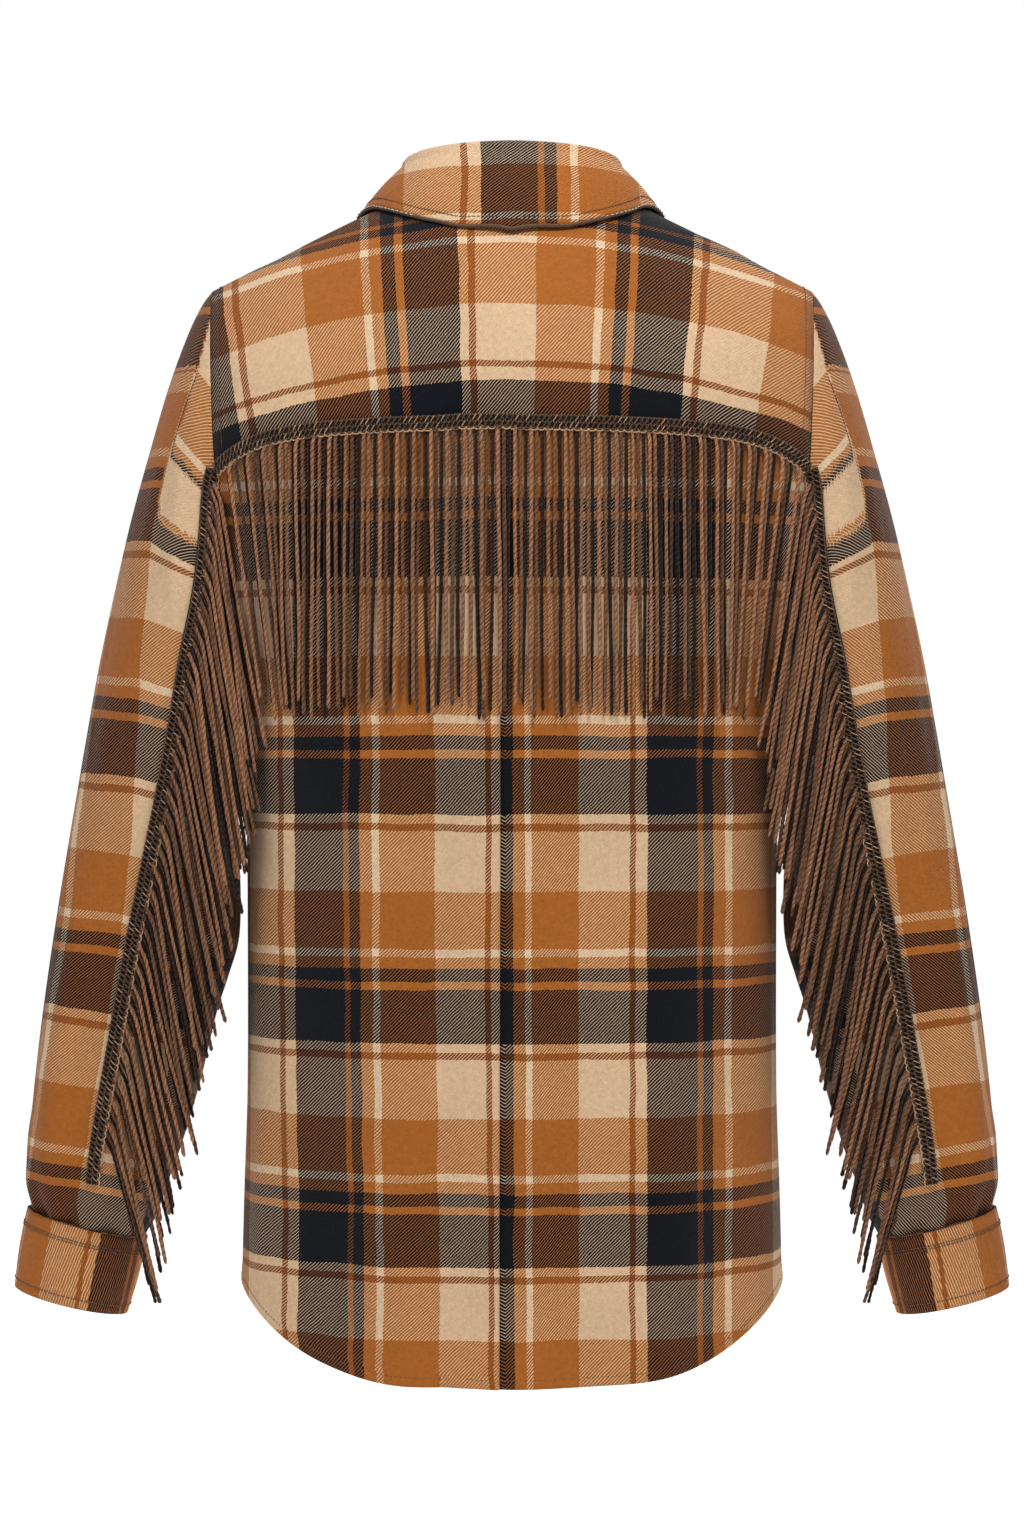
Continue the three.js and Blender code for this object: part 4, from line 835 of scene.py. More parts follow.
def front_panel(name, side, start_x):
    columns = [start_x, *FRONT_NECK_COLUMNS[FRONT_NECK_COLUMNS > start_x + 1], *FRONT_SEAM_COLUMNS]
    rows = panel_rows(110)
    grid = np.zeros((len(rows), len(columns), 3))
    for place, top_x in enumerate(columns):
        at_side = place == len(columns) - 1
        top = front_top_height(top_x)
        half_width = read_table(TORSO_SECTIONS, top)[0]
        start = math.asin(start_x / half_width)
        step = 1.0 if at_side else float((math.asin(top_x / half_width) - start) / (edge_angle(top) - start))
        column_x = lambda z: side_column_x(start_x, step, z)
        hem = meet_line(column_x, lambda x: hem_height(x, HEM_FRONT_Z), HEM_GUESS_Z)
        z = mix(hem, top, rows)
        angle = math.pi - (edge_angle(z) if at_side else angle_of(column_x(z), z))
        lift = hem_lift(z, hem)
        grid[:, place] = body_point(angle * side, z) + body_normal(angle * side, z) * lift[..., None]
    across = across_arc(grid, 0, seen_flat=True) + start_x
    cloth = body_cloth(-across * side, grid[..., 2])
    return cloth_wall(name, grid, cloth, inside=INSIDE_BODY)


def front_surface(x, z, lift):
    x, z = np.broadcast_arrays(np.asarray(x, float), np.asarray(z, float))
    angle = math.pi - angle_of(x, z)
    return body_point(angle, z) + body_normal(angle, z) * np.asarray(lift, float)[..., None]


def front_placket():
    z = mix(HEM_FRONT_Z, NECK_FRONT_Z - PLACKET_BELOW_NECK, np.linspace(0, 1, 150))[:, None]
    across = np.array([-17, -16, -14, -11.5, -10.5, -9.5, -5, 0, 5, 9.5, 10.5, 11.5, 14, 16, 17.0])
    dip = -0.35 * np.exp(-((np.abs(across) - PLACKET_STITCH_X) / 0.8) ** 2) - 0.6 * (np.abs(across) > 16.5)
    grid = front_surface(across, z, PLACKET_LIFT + DOUBLE_CLOTH + dip + 0 * z)
    cloth = body_cloth(-across + 0 * z, z)
    return cloth_wall("front_placket_cloth", grid, cloth, thickness=DOUBLE_CLOTH, inside=INSIDE_FRONT)


# Yoke, cut across the cloth, so the weft runs up and down
YOKE_PLACES = [(-60, -200), (0, -150), (112.6, -46.1), (168.6, 0), (215.9, 41.9), (262, 82)]
YOKE_WEFT_START = 14.4
YOKE_FAN = 0.00092
YOKE_EDGE_EASE = 7
YOKE_DROOP = 0.0008
YOKE_PLACE_Z = -80


def yoke_cloth(grid, over):
    x, z = grid[..., 0], grid[..., 2]
    drooped = np.minimum(z + YOKE_DROOP * x * x, float(shoulder_height(0)) - 0.01)
    down = np.where(over > 0, over_from_height(0 * x, drooped), over)
    table = np.array(YOKE_PLACES, float)
    warp = np.interp(down, table[:, 0], table[:, 1])
    x = x - np.sign(x) * YOKE_EDGE_EASE * smooth((np.abs(x) - 115) / 65)
    weft = x / (1 + YOKE_FAN * np.clip(z - YOKE_PLACE_Z, -90, 120)) - YOKE_WEFT_START
    return points(warp, weft, 0)


def neck_back_over(x):
    z = NECK_BACK_Z + NECK_BACK_RISE * (np.abs(x) / NECK_HALF_WIDTH) ** 3
    return over_from_height(x, z)


def back_yoke():
    half = [(x, float(neck_back_over(x))) for x in np.linspace(0, 66, 14)]
    half += [(NECK_HALF_WIDTH, over) for over in (6.0, 0.0)]
    half += [
        (mix(NECK_HALF_WIDTH, YOKE_NECK_CORNER_X, share), -YOKE_FORWARD * share) for share in (0.35, 0.7, 1)
    ]
    half += [(x, -YOKE_FORWARD) for x in np.linspace(72, ARMHOLE_TOP_X, 24)]
    spread = np.linspace(0, 1, len(half)) ** 0.95
    rows = np.linspace(0, 1, 90)
    columns = []
    for (top_x, top_over), share in zip(half, spread):
        last = share == 1
        column_x = lambda z: armhole_x(z) if last else share * armhole_x(z)
        bottom_z = meet_line(column_x, yoke_seam_z, SEAM_GUESS_Z)
        bottom_x = float(column_x(bottom_z))
        bottom_over = float(over_from_height(bottom_x, bottom_z + SEAM_GAP / 2))
        over = mix(bottom_over, top_over, rows)
        x = mix(bottom_x, top_x, rows)
        if last:
            x = armhole_x(shoulder_point(x, over)[..., 2])
        columns.append((x, over))
    x = np.stack([-column[0] for column in columns[:0:-1]] + [column[0] for column in columns], axis=1)
    over = np.stack([column[1] for column in columns[:0:-1]] + [column[1] for column in columns], axis=1)
    grid = shoulder_point(x, over)
    lift = crease_height(YOKE_CREASES, x, over) * smooth((ARMHOLE_TOP_X - np.abs(x)) / 14)
    lift = lift * smooth((np.abs(over - over[0]) - 4) / 16) * smooth((np.abs(over - over[-1]) - 2) / 14)
    grid = grid + shoulder_normal(x, over) * lift[..., None]
    return cloth_wall("back_yoke_cloth", grid, yoke_cloth(grid, over), inside=INSIDE_YOKE)


# Collar
def neck_point(angle):
    angle = float(angle)
    side = -1 if math.sin(angle) < 0 else 1
    turn = abs(math.atan2(math.sin(angle), math.cos(angle)))
    x = NECK_HALF_WIDTH * math.sin(turn)
    if turn <= math.pi / 2:
        return shoulder_point(x * side, neck_back_over(x))
    front_x = min(x, YOKE_NECK_CORNER_X)
    front = shoulder_point(front_x * side, -over_from_height(front_x, front_neck_height(front_x)))
    share = (math.degrees(turn) - 90) / 24
    if share >= 1:
        return front
    neck_edge = shoulder_point(x * side, -YOKE_FORWARD * share)
    return mix(neck_edge, front, float(smooth(share)))


def neck_out(angle):
    along = neck_point(angle + 0.03) - neck_point(angle - 0.03)
    along[2] = 0
    along = unit(along)
    return np.array([along[1], -along[0], 0])


def stand_top(angle):
    turn = abs(math.degrees(math.atan2(math.sin(angle), math.cos(angle))))
    top = neck_point(angle) - neck_out(angle) * STAND_LEAN
    top[2] = read_table(STAND_TOP, turn)[0]
    return top


def clear_of_shoulder(point, clearance):
    half_width, back, front = read_table(TORSO_SECTIONS, point[2])
    across = (1 - (abs(point[0]) / half_width) ** TORSO_SQUARENESS) ** (1 / TORSO_SQUARENESS)
    share = min(1, abs(point[1]) / ((back if point[1] < 0 else front) * across))
    body_z = shoulder_height(point[0]) - SHOULDER_ROUND * (1 - math.cos(math.asin(share)))
    point[2] = max(point[2], body_z + clearance)
    return point


COLLAR_WARP_START = -68
COLLAR_WARP_SCALE = 0.87


def collar_cloth(arc, down):
    return points((arc - COLLAR_WARP_START) * COLLAR_WARP_SCALE, down, 0)


def collar_stand():
    degrees = np.linspace(-STAND_END, STAND_END, 130)
    grid = np.zeros((9, len(degrees), 3))
    for column, place in enumerate(degrees):
        angle = math.radians(place)
        lift = STAND_OVERLAP_LIFT * float(smooth((place - 140) / 24))
        out = neck_out(angle)
        low = neck_point(angle) + out * lift + np.array([0, 0, 3 * SEAM_GAP])
        high = stand_top(angle) + out * lift
        for row, share in enumerate(np.linspace(0, 1, 9)):
            grid[row, column] = mix(low, high, share) + out * 0.9 * math.sin(math.pi * share)
    arc = across_arc(grid, 65)
    cloth = collar_cloth(arc, np.linspace(90, 60, 9)[:, None] + 0 * arc)
    return cloth_wall("collar_stand_cloth", grid, cloth, thickness=DOUBLE_CLOTH, inside=INSIDE_NECK)


LEAF_ROWS = 16


def leaf_grid(lift_by=0.0):
    """Outer face of the leaf: rows from inside the fold, over it and down to the lower edge."""
    degrees = np.linspace(-LEAF_END, LEAF_END, 150)
    fold_shares = np.linspace(0, len(LEAF_FOLD) - 1, 11)
    fold = np.array(LEAF_FOLD)
    fold_out = np.interp(fold_shares, range(len(fold)), fold[:, 0])
    fold_up = np.interp(fold_shares, range(len(fold)), fold[:, 1])
    middle = np.zeros((len(fold_shares) + LEAF_ROWS, len(degrees), 3))
    for column, place in enumerate(degrees):
        angle = math.radians(place)
        side = -1 if place < 0 else 1
        top = stand_top(angle)
        lift = STAND_OVERLAP_LIFT * float(smooth((place - 140) / 24))
        out = neck_out(angle)
        for row in range(len(fold_shares)):
            middle[row, column] = top + out * (fold_out[row] + lift) + np.array([0, 0, fold_up[row]])
        edge_x, over = read_table(LEAF_EDGE, abs(place))
        low = shoulder_point(edge_x * side, over) + shoulder_normal(edge_x * side, over) * LEAF_CLEARANCE
        start = middle[len(fold_shares) - 1, column].copy()
        for row in range(LEAF_ROWS):
            share = (row + 1) / LEAF_ROWS
            point = mix(start, low, share) + out * (LEAF_BOW * math.sin(math.pi * share))
            sway = 1.1 * math.sin(3.1 * angle + 0.6) * share * share
            sway += 0.8 * math.sin(7.3 * angle + 2) * share ** 3
            point += out * sway
            middle[len(fold_shares) + row, column] = clear_of_shoulder(point, LEAF_CLEARANCE * 1.2)
    normal = grid_normal(middle, False)
    if np.sum((middle - middle.mean(axis=(0, 1)))[..., :2] * normal[..., :2]) < 0:
        normal = -normal
    return middle + normal * (DOUBLE_CLOTH / 2 + lift_by), normal


COLLAR_WEFT_SHIFT = 20


def collar_leaf():
    grid, normal = leaf_grid()
    stretch = across_arc(np.swapaxes(grid, 0, 1), 5).T
    dip = -0.3 * np.exp(-((stretch - stretch[-1] + 6) / 0.9) ** 2)
    grid = grid + normal * dip[..., None]
    cloth = collar_cloth(grid[..., 0], stretch - COLLAR_WEFT_SHIFT)
    return cloth_wall("collar_leaf_cloth", grid, cloth, thickness=DOUBLE_CLOTH, inside=INSIDE_COLLAR)


# Sleeves and cuffs
# Line between the orange and the cream warp on the back of the sleeve: height, place across
SLEEVE_WARP_LINE = [
    (-640, 276), (-599, 272), (-524.6, 257), (-412.5, 239.5), (-288, 232), (-213, 225.8),
    (-188, 221), (-157, 215), (-120, 201), (-60, 188),
]
# Height along the sleeve, place down the weft on its outer strip, and on its inner side, where the
# fold of the sleeve head hides part of the cloth
SLEEVE_ROWS = [
    (-700, 417.0, 417.0), (-214, -46.1, -46.1), (-198, -61.5, -79.8), (-196, -63.4, -140.3),
    (-158, -102.0, -178.0), (-156, -104.0, -234.0), (-120, -140.3, -268.0), (-104, -186.4, -282.0),
    (-40, -248.0, -340.0),
]
# How steeply the rows fall towards the body on the inner side: height, slope
SLEEVE_ROW_SLOPE = [(-640, -0.22), (-320, -0.24), (-240, -0.42), (-190, -0.85), (-60, -1.0)]
SLEEVE_OUTER_SLOPE = -0.1
SLEEVE_PATTERN_FLAT = 0.8


def sleeve_cloth(grid, angle):
    """Places round and down the sleeve. The last value keeps the twill even where the rows slope."""
    x, z = grid[..., 0], grid[..., 2]
    line = np.array(SLEEVE_WARP_LINE)
    boundary = np.interp(z, line[:, 0], line[:, 1])
    steps = np.linalg.norm(np.diff(grid, axis=1), axis=-1)
    turned = smooth((np.abs(np.cos(angle[..., 1:])) - SLEEVE_PATTERN_FLAT) / 0.15)
    steps = mix(np.abs(np.diff(x, axis=1)), steps, turned)
    arc = np.concatenate([np.zeros((len(grid), 1)), np.cumsum(steps, axis=1)], axis=1)
    start = np.zeros(len(grid))
    back = (angle > 0.02) & (angle < math.pi)
    for row in range(len(grid)):
        inside = (x[row] < boundary[row]) & back
        start[row] = arc[row, np.argmax(inside)] if inside.any() else 0
    kernel = np.ones(9) / 9
    start = np.convolve(np.pad(start, 4, mode="edge"), kernel, mode="valid")
    slope_table = np.array(SLEEVE_ROW_SLOPE)
    slope = np.interp(z, slope_table[:, 0], slope_table[:, 1])
    inner = np.minimum(x - boundary, 0)
    row_height = z + slope * inner + SLEEVE_OUTER_SLOPE * np.maximum(x - boundary, 0)
    rows = np.array(SLEEVE_ROWS)
    outer_down = np.interp(row_height, rows[:, 0], rows[:, 1])
    inner_down = np.interp(row_height, rows[:, 0], rows[:, 2])
    on_inner = smooth(-inner / 3) * (angle > 0.02) * (angle < math.pi)
    down = np.where(on_inner > 0.5, inner_down, outer_down)
    around = arc - start[:, None]
    length = arc[:, -1:]
    around = np.where(around > length * 0.72, around - length * 1.02, around)
    return points(around, down, -z - down)


# Rows along a sleeve and columns round it
SLEEVE_ROWS_COUNT = 150
SLEEVE_COLUMNS_COUNT = 112


def sleeve(name, side):
    at = np.linspace(0, SLEEVE_END, SLEEVE_ROWS_COUNT)[:, None]
    angle = np.linspace(0, 2 * math.pi, SLEEVE_COLUMNS_COUNT, endpoint=False)[None, :]
    grid = sleeve_point(at, angle)
    cloth = sleeve_cloth(grid, angle[0])
    return cloth_wall(name, mirrored(grid, side), cloth, wrap=True)


def cuff_grid(lift_by=0.0, rows=18):
    first = CUFF_OVERLAP_ANGLE - 360 - CUFF_OVERLAP / 2
    last = CUFF_OVERLAP_ANGLE + CUFF_OVERLAP / 2
    degrees = np.linspace(first, last, 120)[None, :]
    at = np.linspace(0, 2, rows)[:, None]
    angle = np.radians(degrees) + 0 * at
    lift = CUFF_OVERLAP_LIFT * smooth((degrees - last + CUFF_OVERLAP + 26) / 24)
    bulge = 0.5 * np.sin(math.pi * at / 2) + 0.35 * np.sin(5 * angle + 1.0) * np.sin(math.pi * at / 2)
    at = at + 0 * angle
    out = tube_out(CUFF_SECTIONS, at, angle)
    return tube_point(CUFF_SECTIONS, at, angle) + out * (lift + bulge + lift_by)[..., None], angle


# Where round the cuff its pattern starts, in degrees, and how much closer its warp bands are
CUFF_PATTERN_START = 62
CUFF_WARP_SCALE = 1.25


def cuff(name, side):
    grid, angle = cuff_grid()
    arc = across_arc(grid, 0)
    start = arc[:, np.argmin(np.abs(angle[0] - math.radians(CUFF_PATTERN_START)))][:, None]
    down = 4 + (grid[..., 2].max() - grid[..., 2]) * 0.55
    cloth = points((arc - start) * CUFF_WARP_SCALE, down * 0.5 + 3, 0)
    return cloth_wall(name, mirrored(grid, side), cloth, thickness=DOUBLE_CLOTH)


# Fringe
# Rings along a cord, sides round it, and the run and height of one turn of its plies
CORD_RINGS = 104
CORD_SIDES = 6
CORD_PLY = 4.2
CORD_PLY_RISE = 0.11
BACK_CORD_LIFTS = [1.7, 3.5, 5.2]
CORD_LEAN_LIFT = 0.12
SLEEVE_CORD_LAYERS = [0.4, 3.2, 6.0]
# Painted shade by layer: cords nearest the cloth are darkened, the outermost lightened
LAYER_PAINTED_SHADES = np.array([-1.5, -0.1, 0.9])
# Painted shade: the sleeve cords, of the same yarn as the back's, are darkened as a whole
SLEEVE_CORD_PAINTED_SHADE = -0.6


def cord_radius(length, salt):
    """Cords are twisted from two plies, a little uneven in thickness and rounded at their lower ends."""
    share = np.linspace(0, 1, CORD_RINGS)
    end = np.sqrt(np.clip((1.002 - share) / 0.012, 0.05, 1))
    number = np.arange(len(length))[:, None]
    wander = 1 + 0.08 * np.sin(share * 31 + number * 2.3 + salt) + 0.07 * np.sin(share * 83 + number * 5.1)
    size = 1 + 0.14 * uneven(number, salt)
    turn = 2 * np.arange(CORD_SIDES) / CORD_SIDES
    ply = np.sin(2 * math.pi * ((share * length[:, None] / CORD_PLY)[..., None] + turn))
    return (CORD_RADIUS * size * wander * end)[..., None] * (1 + CORD_PLY_RISE * ply)


def bunched(number, salt):
    """Neighbouring cords drift together into bunches, with gaps between."""
    return np.sin(2 * math.pi * number / 5.3 + 2 * np.sin(number * 0.37 + salt) + salt)


def back_fringe():
    cord = np.arange(BACK_CORDS)[:, None]
    share = np.linspace(0, 1, CORD_RINGS)[None, :]
    x = mix(-BACK_CORDS_REACH, BACK_CORDS_REACH, cord / (BACK_CORDS - 1)) + 0.3 * uneven(cord, 11)
    towards_side = (np.abs(x) - BACK_CORD_LEAN_FROM) / (BACK_CORDS_REACH - BACK_CORD_LEAN_FROM)
    lean = BACK_CORD_LEAN * smooth(towards_side)
    length = yoke_seam_z(x) - BACK_CORD_END_Z + CORD_UNEVEN * uneven(cord, 2)
    down = share * (length - BRAID_WIDTH / 2)
    drift = (1.1 * uneven(cord, 1) + 1.2 * bunched(cord, 0.4)) * share ** 1.2
    drift = drift + 0.6 * np.sin(share * 6.5 + 3 * uneven(cord, 4)) * share
    place = x - np.tan(np.radians(lean)) * np.sign(x) * down + drift
    order = np.arange(BACK_CORDS) * 2 % 3
    layer = np.array(BACK_CORD_LIFTS)[order][:, None]
    hang = layer + CORD_LEAN_LIFT * lean + 0.5 * np.sin(share * 7 + cord)
    rooted = smooth(share / 0.05)
    lift = BRAID_LIFT + pleat_top(place) + mix(BRAID_THICKNESS / 2, hang, rooted)
    top = yoke_seam_z(x) - BRAID_WIDTH / 2 + 1.6
    paths = back_surface(place, top - down, lift)
    # Painted shade by layer, with a random spread of dye from cord to cord
    shade = LAYER_PAINTED_SHADES[order] + 0.6 * uneven(np.arange(BACK_CORDS), 6)
    return tube_set("back_fringe_cords", paths, cord_radius(length[:, 0], 1), CORD_SIDES, shade)


def sleeve_fringe(name, side):
    at = mix(SLEEVE_BRAID_START + 0.1, SLEEVE_CORDS_END, np.arange(SLEEVE_CORDS) / (SLEEVE_CORDS - 1))
    number = np.arange(SLEEVE_CORDS)
    angle = braid_angle(at) + (BRAID_WIDTH / 2 - 1.8) / sleeve_radius(at)
    root = sleeve_point(at, angle) + sleeve_normal(at, angle) * (BRAID_LIFT + BRAID_THICKNESS / 2)
    lean = np.radians(SLEEVE_CORD_LEAN + SLEEVE_CORD_LEAN_MORE * at + 1.5 * uneven(number, 8))
    length = SLEEVE_CORD_LENGTH - SLEEVE_CORD_SHORTER * at + CORD_UNEVEN * uneven(number, 3)
    order = number * 2 % 3
    layer = np.array(SLEEVE_CORD_LAYERS)[order]
    share = np.linspace(0, 1, CORD_RINGS)[None, :]
    run = share * length[:, None]
    leave = smooth(run / 16)
    sway = 1.5 * np.sin(share * 4.4 + 2.5 * uneven(number, 9)[:, None]) * share
    sway = sway + (2.0 * uneven(number, 12) + 2.2 * bunched(number, 1.9))[:, None] * share ** 1.3
    x = root[:, :1] - 3.2 * leave - np.sin(lean)[:, None] * run + sway
    z = root[:, 2:] - np.cos(lean)[:, None] * run
    y = root[:, 1:2] - layer[:, None] * leave + 0.4 * np.sin(share * 8 + number[:, None])
    over_body = (at < CORDS_OVER_BODY)[:, None] & (share > 0.03)
    body_y = back_surface(x, np.minimum(z, -150), 0)[..., 1]
    clear = np.minimum(y, body_y - CORD_CLEARANCE - layer[:, None])
    y = np.where(over_body, mix(y, clear, smooth(share / 0.14)), y)
    paths = mirrored(points(x, y, z), side)
    # Painted shade by layer and over the whole sleeve fringe, with a random spread of dye from cord to cord
    shade = LAYER_PAINTED_SHADES[order] + SLEEVE_CORD_PAINTED_SHADE + 0.6 * uneven(number, 7 + side)
    return tube_set(name, paths, cord_radius(length, 2 + side), CORD_SIDES, shade)


# Crocheted braid: a dark band, taken to near black as painted shade between the loops, under a net of fine
# threads, with a scalloped edge
NET_PITCH = 3.3
NET_RADIUS = 0.3
NET_LEAN = 1.3
SCALLOP_PITCH = 4.4
SCALLOP_RADIUS = 0.5
SCALLOP_SHADE = 2.0


def with_outward(line, out, pitch):
    """Evenly spaced places on a line, with their direction, the way out and the way across."""
    point, along = along_path(line, pitch)
    places = np.linspace(0, 1, len(point))
    rows = np.linspace(0, 1, len(out))
    outward = unit(np.stack([np.interp(places, rows, out[:, axis]) for axis in range(3)], axis=-1))
    return point, along, outward, unit(np.cross(outward, along))


def braid(name, line, out, upper):
    """line runs down the middle of the braid's outer face. upper is 1 or -1, the side of its scallops."""
    sets = []
    point, along, outward, across = with_outward(line, out, NET_PITCH / 4)
    step = np.arange(len(point))
    for rail, salt in ((-4.0, 1), (-0.2, 2), (3.9, 3)):
        wave = 0.34 * np.sin(step * math.pi / 2 + salt) + 0.1 * uneven(step, salt)
        lift = 0.25 + 0.2 * np.cos(step * math.pi / 2)
        path = point + across * (rail + wave)[:, None] + outward * lift[:, None]
        tube_set("", path[None], NET_RADIUS, 5, 0.4, outward[None], sets)
    point, along, outward, across = with_outward(line, out, NET_PITCH)
    number = np.arange(len(point))
    for row in (-1, 1):
        for leg in (-1, 1):
            ends = [(-1.0, -0.1), (-0.5, 0.45), (0.3, 0.5), (1.0, -0.1)]
            slip = 0.25 * uneven(number, 20 + row + leg)[:, None]
            paths = np.stack([
                point + along * (leg * NET_LEAN * share + slip)
                + across * (2.05 * row + 1.95 * share) + outward * up
                for share, up in ends
            ], axis=1)
            facing = np.repeat(outward[:, None], len(ends), axis=1)
            shade = 0.6 * leg + 0.5 * uneven(number, 31 + 2 * row + leg)
            tube_set("", paths, NET_RADIUS * (1.15 if leg > 0 else 0.85), 5, shade, facing, sets)
    point, along, outward, across = with_outward(line, out, SCALLOP_PITCH)
    turns = np.linspace(-0.1, math.pi + 0.1, 7)
    paths = np.stack([
        point + along * 2.2 * math.cos(turn) + across * upper * (4.1 + 1.3 * math.sin(turn)) + outward * 0.1
        for turn in turns
    ], axis=1)
    facing = np.repeat(outward[:, None], len(turns), axis=1)
    shade = SCALLOP_SHADE * (0.75 + 0.5 * uneven(np.arange(len(point)), 40))
    tube_set("", paths, SCALLOP_RADIUS, 5, shade, facing, sets)
    return join_tubes(name, sets)


def braid_strip(name, line, out):
    """The flat ground of the braid, under its loops: dark brown tape taken to near black as painted shade in
    the gaps between the loops.
    """
    along = unit(np.gradient(line, axis=0))
    side = unit(np.cross(out, along))
    across = np.array([-4.5, -4.2, -2.2, 0, 2.2, 4.2, 4.5])
    drop = np.array([1.4, 0.5, 0.3, 0.5, 0.3, 0.5, 1.4])
    grid = line[:, None] + side[:, None] * across[:, None] - out[:, None] * drop[:, None]
    piece = cloth_wall(name, grid, np.zeros(3), thickness=0.9)
    values = np.zeros((len(piece.data.vertices), 3), np.float32)
    # Lowest shade: the yarn's darkest colour, painted shade between the loops
    values[:, 2] = -1
    piece.data.attributes.new("yarn", "FLOAT_VECTOR", "POINT").data.foreach_set("vector", values.ravel())
    return piece


def back_braid_line():
    end = armhole_x(-172) - BRAID_END_GAP
    x = np.linspace(-end, end, 260)
    z = yoke_seam_z(x)
    angle = angle_of(x, z)
    line = back_surface(x, z, BRAID_LIFT + pleat_top(x) + BRAID_THICKNESS)
    return line, body_normal(angle, z)


def sleeve_braid_line(side):
    at = np.linspace(SLEEVE_BRAID_START, SLEEVE_BRAID_END, 300)
    angle = braid_angle(at)
    out = sleeve_normal(at, angle)
    line = sleeve_point(at, angle) + out * (BRAID_LIFT + BRAID_THICKNESS)
    return mirrored(line, side), mirrored(out, side)


# Sewing
def sew_hems():
    for lowest, surface, reach in ((HEM_BACK_Z, back_surface, 169), (HEM_FRONT_Z, front_surface, 168)):
        x = np.linspace(-reach, reach, 240)
        z = hem_height(x, lowest) + HEM_TURN - 1
        behind = surface is back_surface
        angle = angle_of(x, z) if behind else math.pi - angle_of(x, z)
        lift = np.where(np.abs(x + 18) < 14, 4.2, 0.15) if behind else np.full_like(x, 0.15)
        lift = np.convolve(np.pad(lift, 4, mode="edge"), np.ones(9) / 9, mode="valid")
        stitch_row(surface(x, z, lift), body_normal(angle, z))


def sew_yoke():
    for side in (-1, 1):
        x = np.linspace(70, ARMHOLE_TOP_X - 4, 80) * side
        over = np.full_like(x, -YOKE_FORWARD + 2.5)
        stitch_row(shoulder_point(x, over) + shoulder_normal(x, over) * 0.2, shoulder_normal(x, over))
        over = np.linspace(-YOKE_FORWARD + 2, 178, 90)
        x = (armhole_x(shoulder_point(ARMHOLE_TOP_X + 0 * over, over)[..., 2]) - 5) * side
        stitch_row(shoulder_point(x, over) + shoulder_normal(x, over) * 0.2, shoulder_normal(x, over))
        z = np.linspace(-186, -284, 40)
        x = (armhole_x(z) - 4.5) * side
        stitch_row(back_surface(x, z, 0.2), body_normal(angle_of(x, z), z))


def sew_placket():
    z = np.linspace(HEM_FRONT_Z + 2, NECK_FRONT_Z - PLACKET_BELOW_NECK - 1, 220)
    for x in (-PLACKET_STITCH_X, PLACKET_STITCH_X):
        place = np.full_like(z, x)
        angle = math.pi - angle_of(place, z)
        stitch_row(front_surface(place, z, PLACKET_LIFT + DOUBLE_CLOTH - 0.1), body_normal(angle, z))
    for count in range(BUTTON_COUNT):
        middle = FIRST_BUTTON_Z - count * BUTTON_SPACING
        turn = np.linspace(0, 2 * math.pi, 26)
        x = 1.5 * np.cos(turn)
        z = middle + 8.6 * np.sin(turn)
        angle = math.pi - angle_of(x, z)
        hole = front_surface(x, z, PLACKET_LIFT + DOUBLE_CLOTH + 0.1)
        stitch_row(hole, body_normal(angle, z), pitch=0.9, length=1.3, radius=0.4)


COLLAR_TUCKED_X = 56


def sew_collar():
    """A row inside the leaf's edge, and pale overcast stitches where its ends stand away from the yoke."""
    grid, normal = leaf_grid(0.1)
    steps = across_arc(np.swapaxes(grid, 0, 1), grid.shape[0] - 1).T
    path = [
        [np.interp(-6.0, steps[:, column], grid[:, column, axis]) for axis in range(3)]
        for column in range(grid.shape[1])
    ]
    stitch_row(np.array(path), normal[-3])
    edge = grid[-1] - normal[-1] * (DOUBLE_CLOTH / 2 + 0.1)
    for side in (-1, 1):
        end = edge[:, 0] * side > COLLAR_TUCKED_X
        outward = normal[-1][end]
        line = edge[end] + outward * 1.35
        stitch_row(line, outward, pitch=4.6, length=2.4, lift=0.0, shade=2.0, radius=0.42)
    return edge


def collar_binding(edge):
    steps = along_path(edge, 2.0)[0]
    return tube_set("collar_bound_edge", steps[None], 1.25, 8, -0.5, facing=(0.0, 0.0, 1.0))


def sew_cuffs():
    for lift_rows in (0.33, 0.42, 1.76):
        grid = cuff_grid(0.2, rows=60)[0]
        row = int(round(lift_rows / 2 * 59))
        out = unit(grid[row] - grid[row].mean(axis=0)) * np.array([1, 1, 0.0])
        for side in (-1, 1):
            stitch_row(mirrored(grid[row], side), mirrored(unit(out), side))


# Buttons
BUTTON_PROFILE = [
    (0.0, 0.62), (0.30, 0.62), (0.52, 0.66), (0.66, 0.78), (0.76, 0.97), (0.86, 1.0),
    (0.95, 0.9), (1.0, 0.62), (1.0, 0.34), (0.95, 0.1), (0.86, 0.0), (0.0, 0.0),
]
BUTTON_HOLE_RADIUS = 0.85
BUTTON_HOLE_PLACE = 1.35


def axes_for(out):
    out = unit(np.asarray(out, float))
    side = unit(np.cross(out, np.array([0.0, 0.0, 1.0])))
    return out, side, np.cross(side, out)


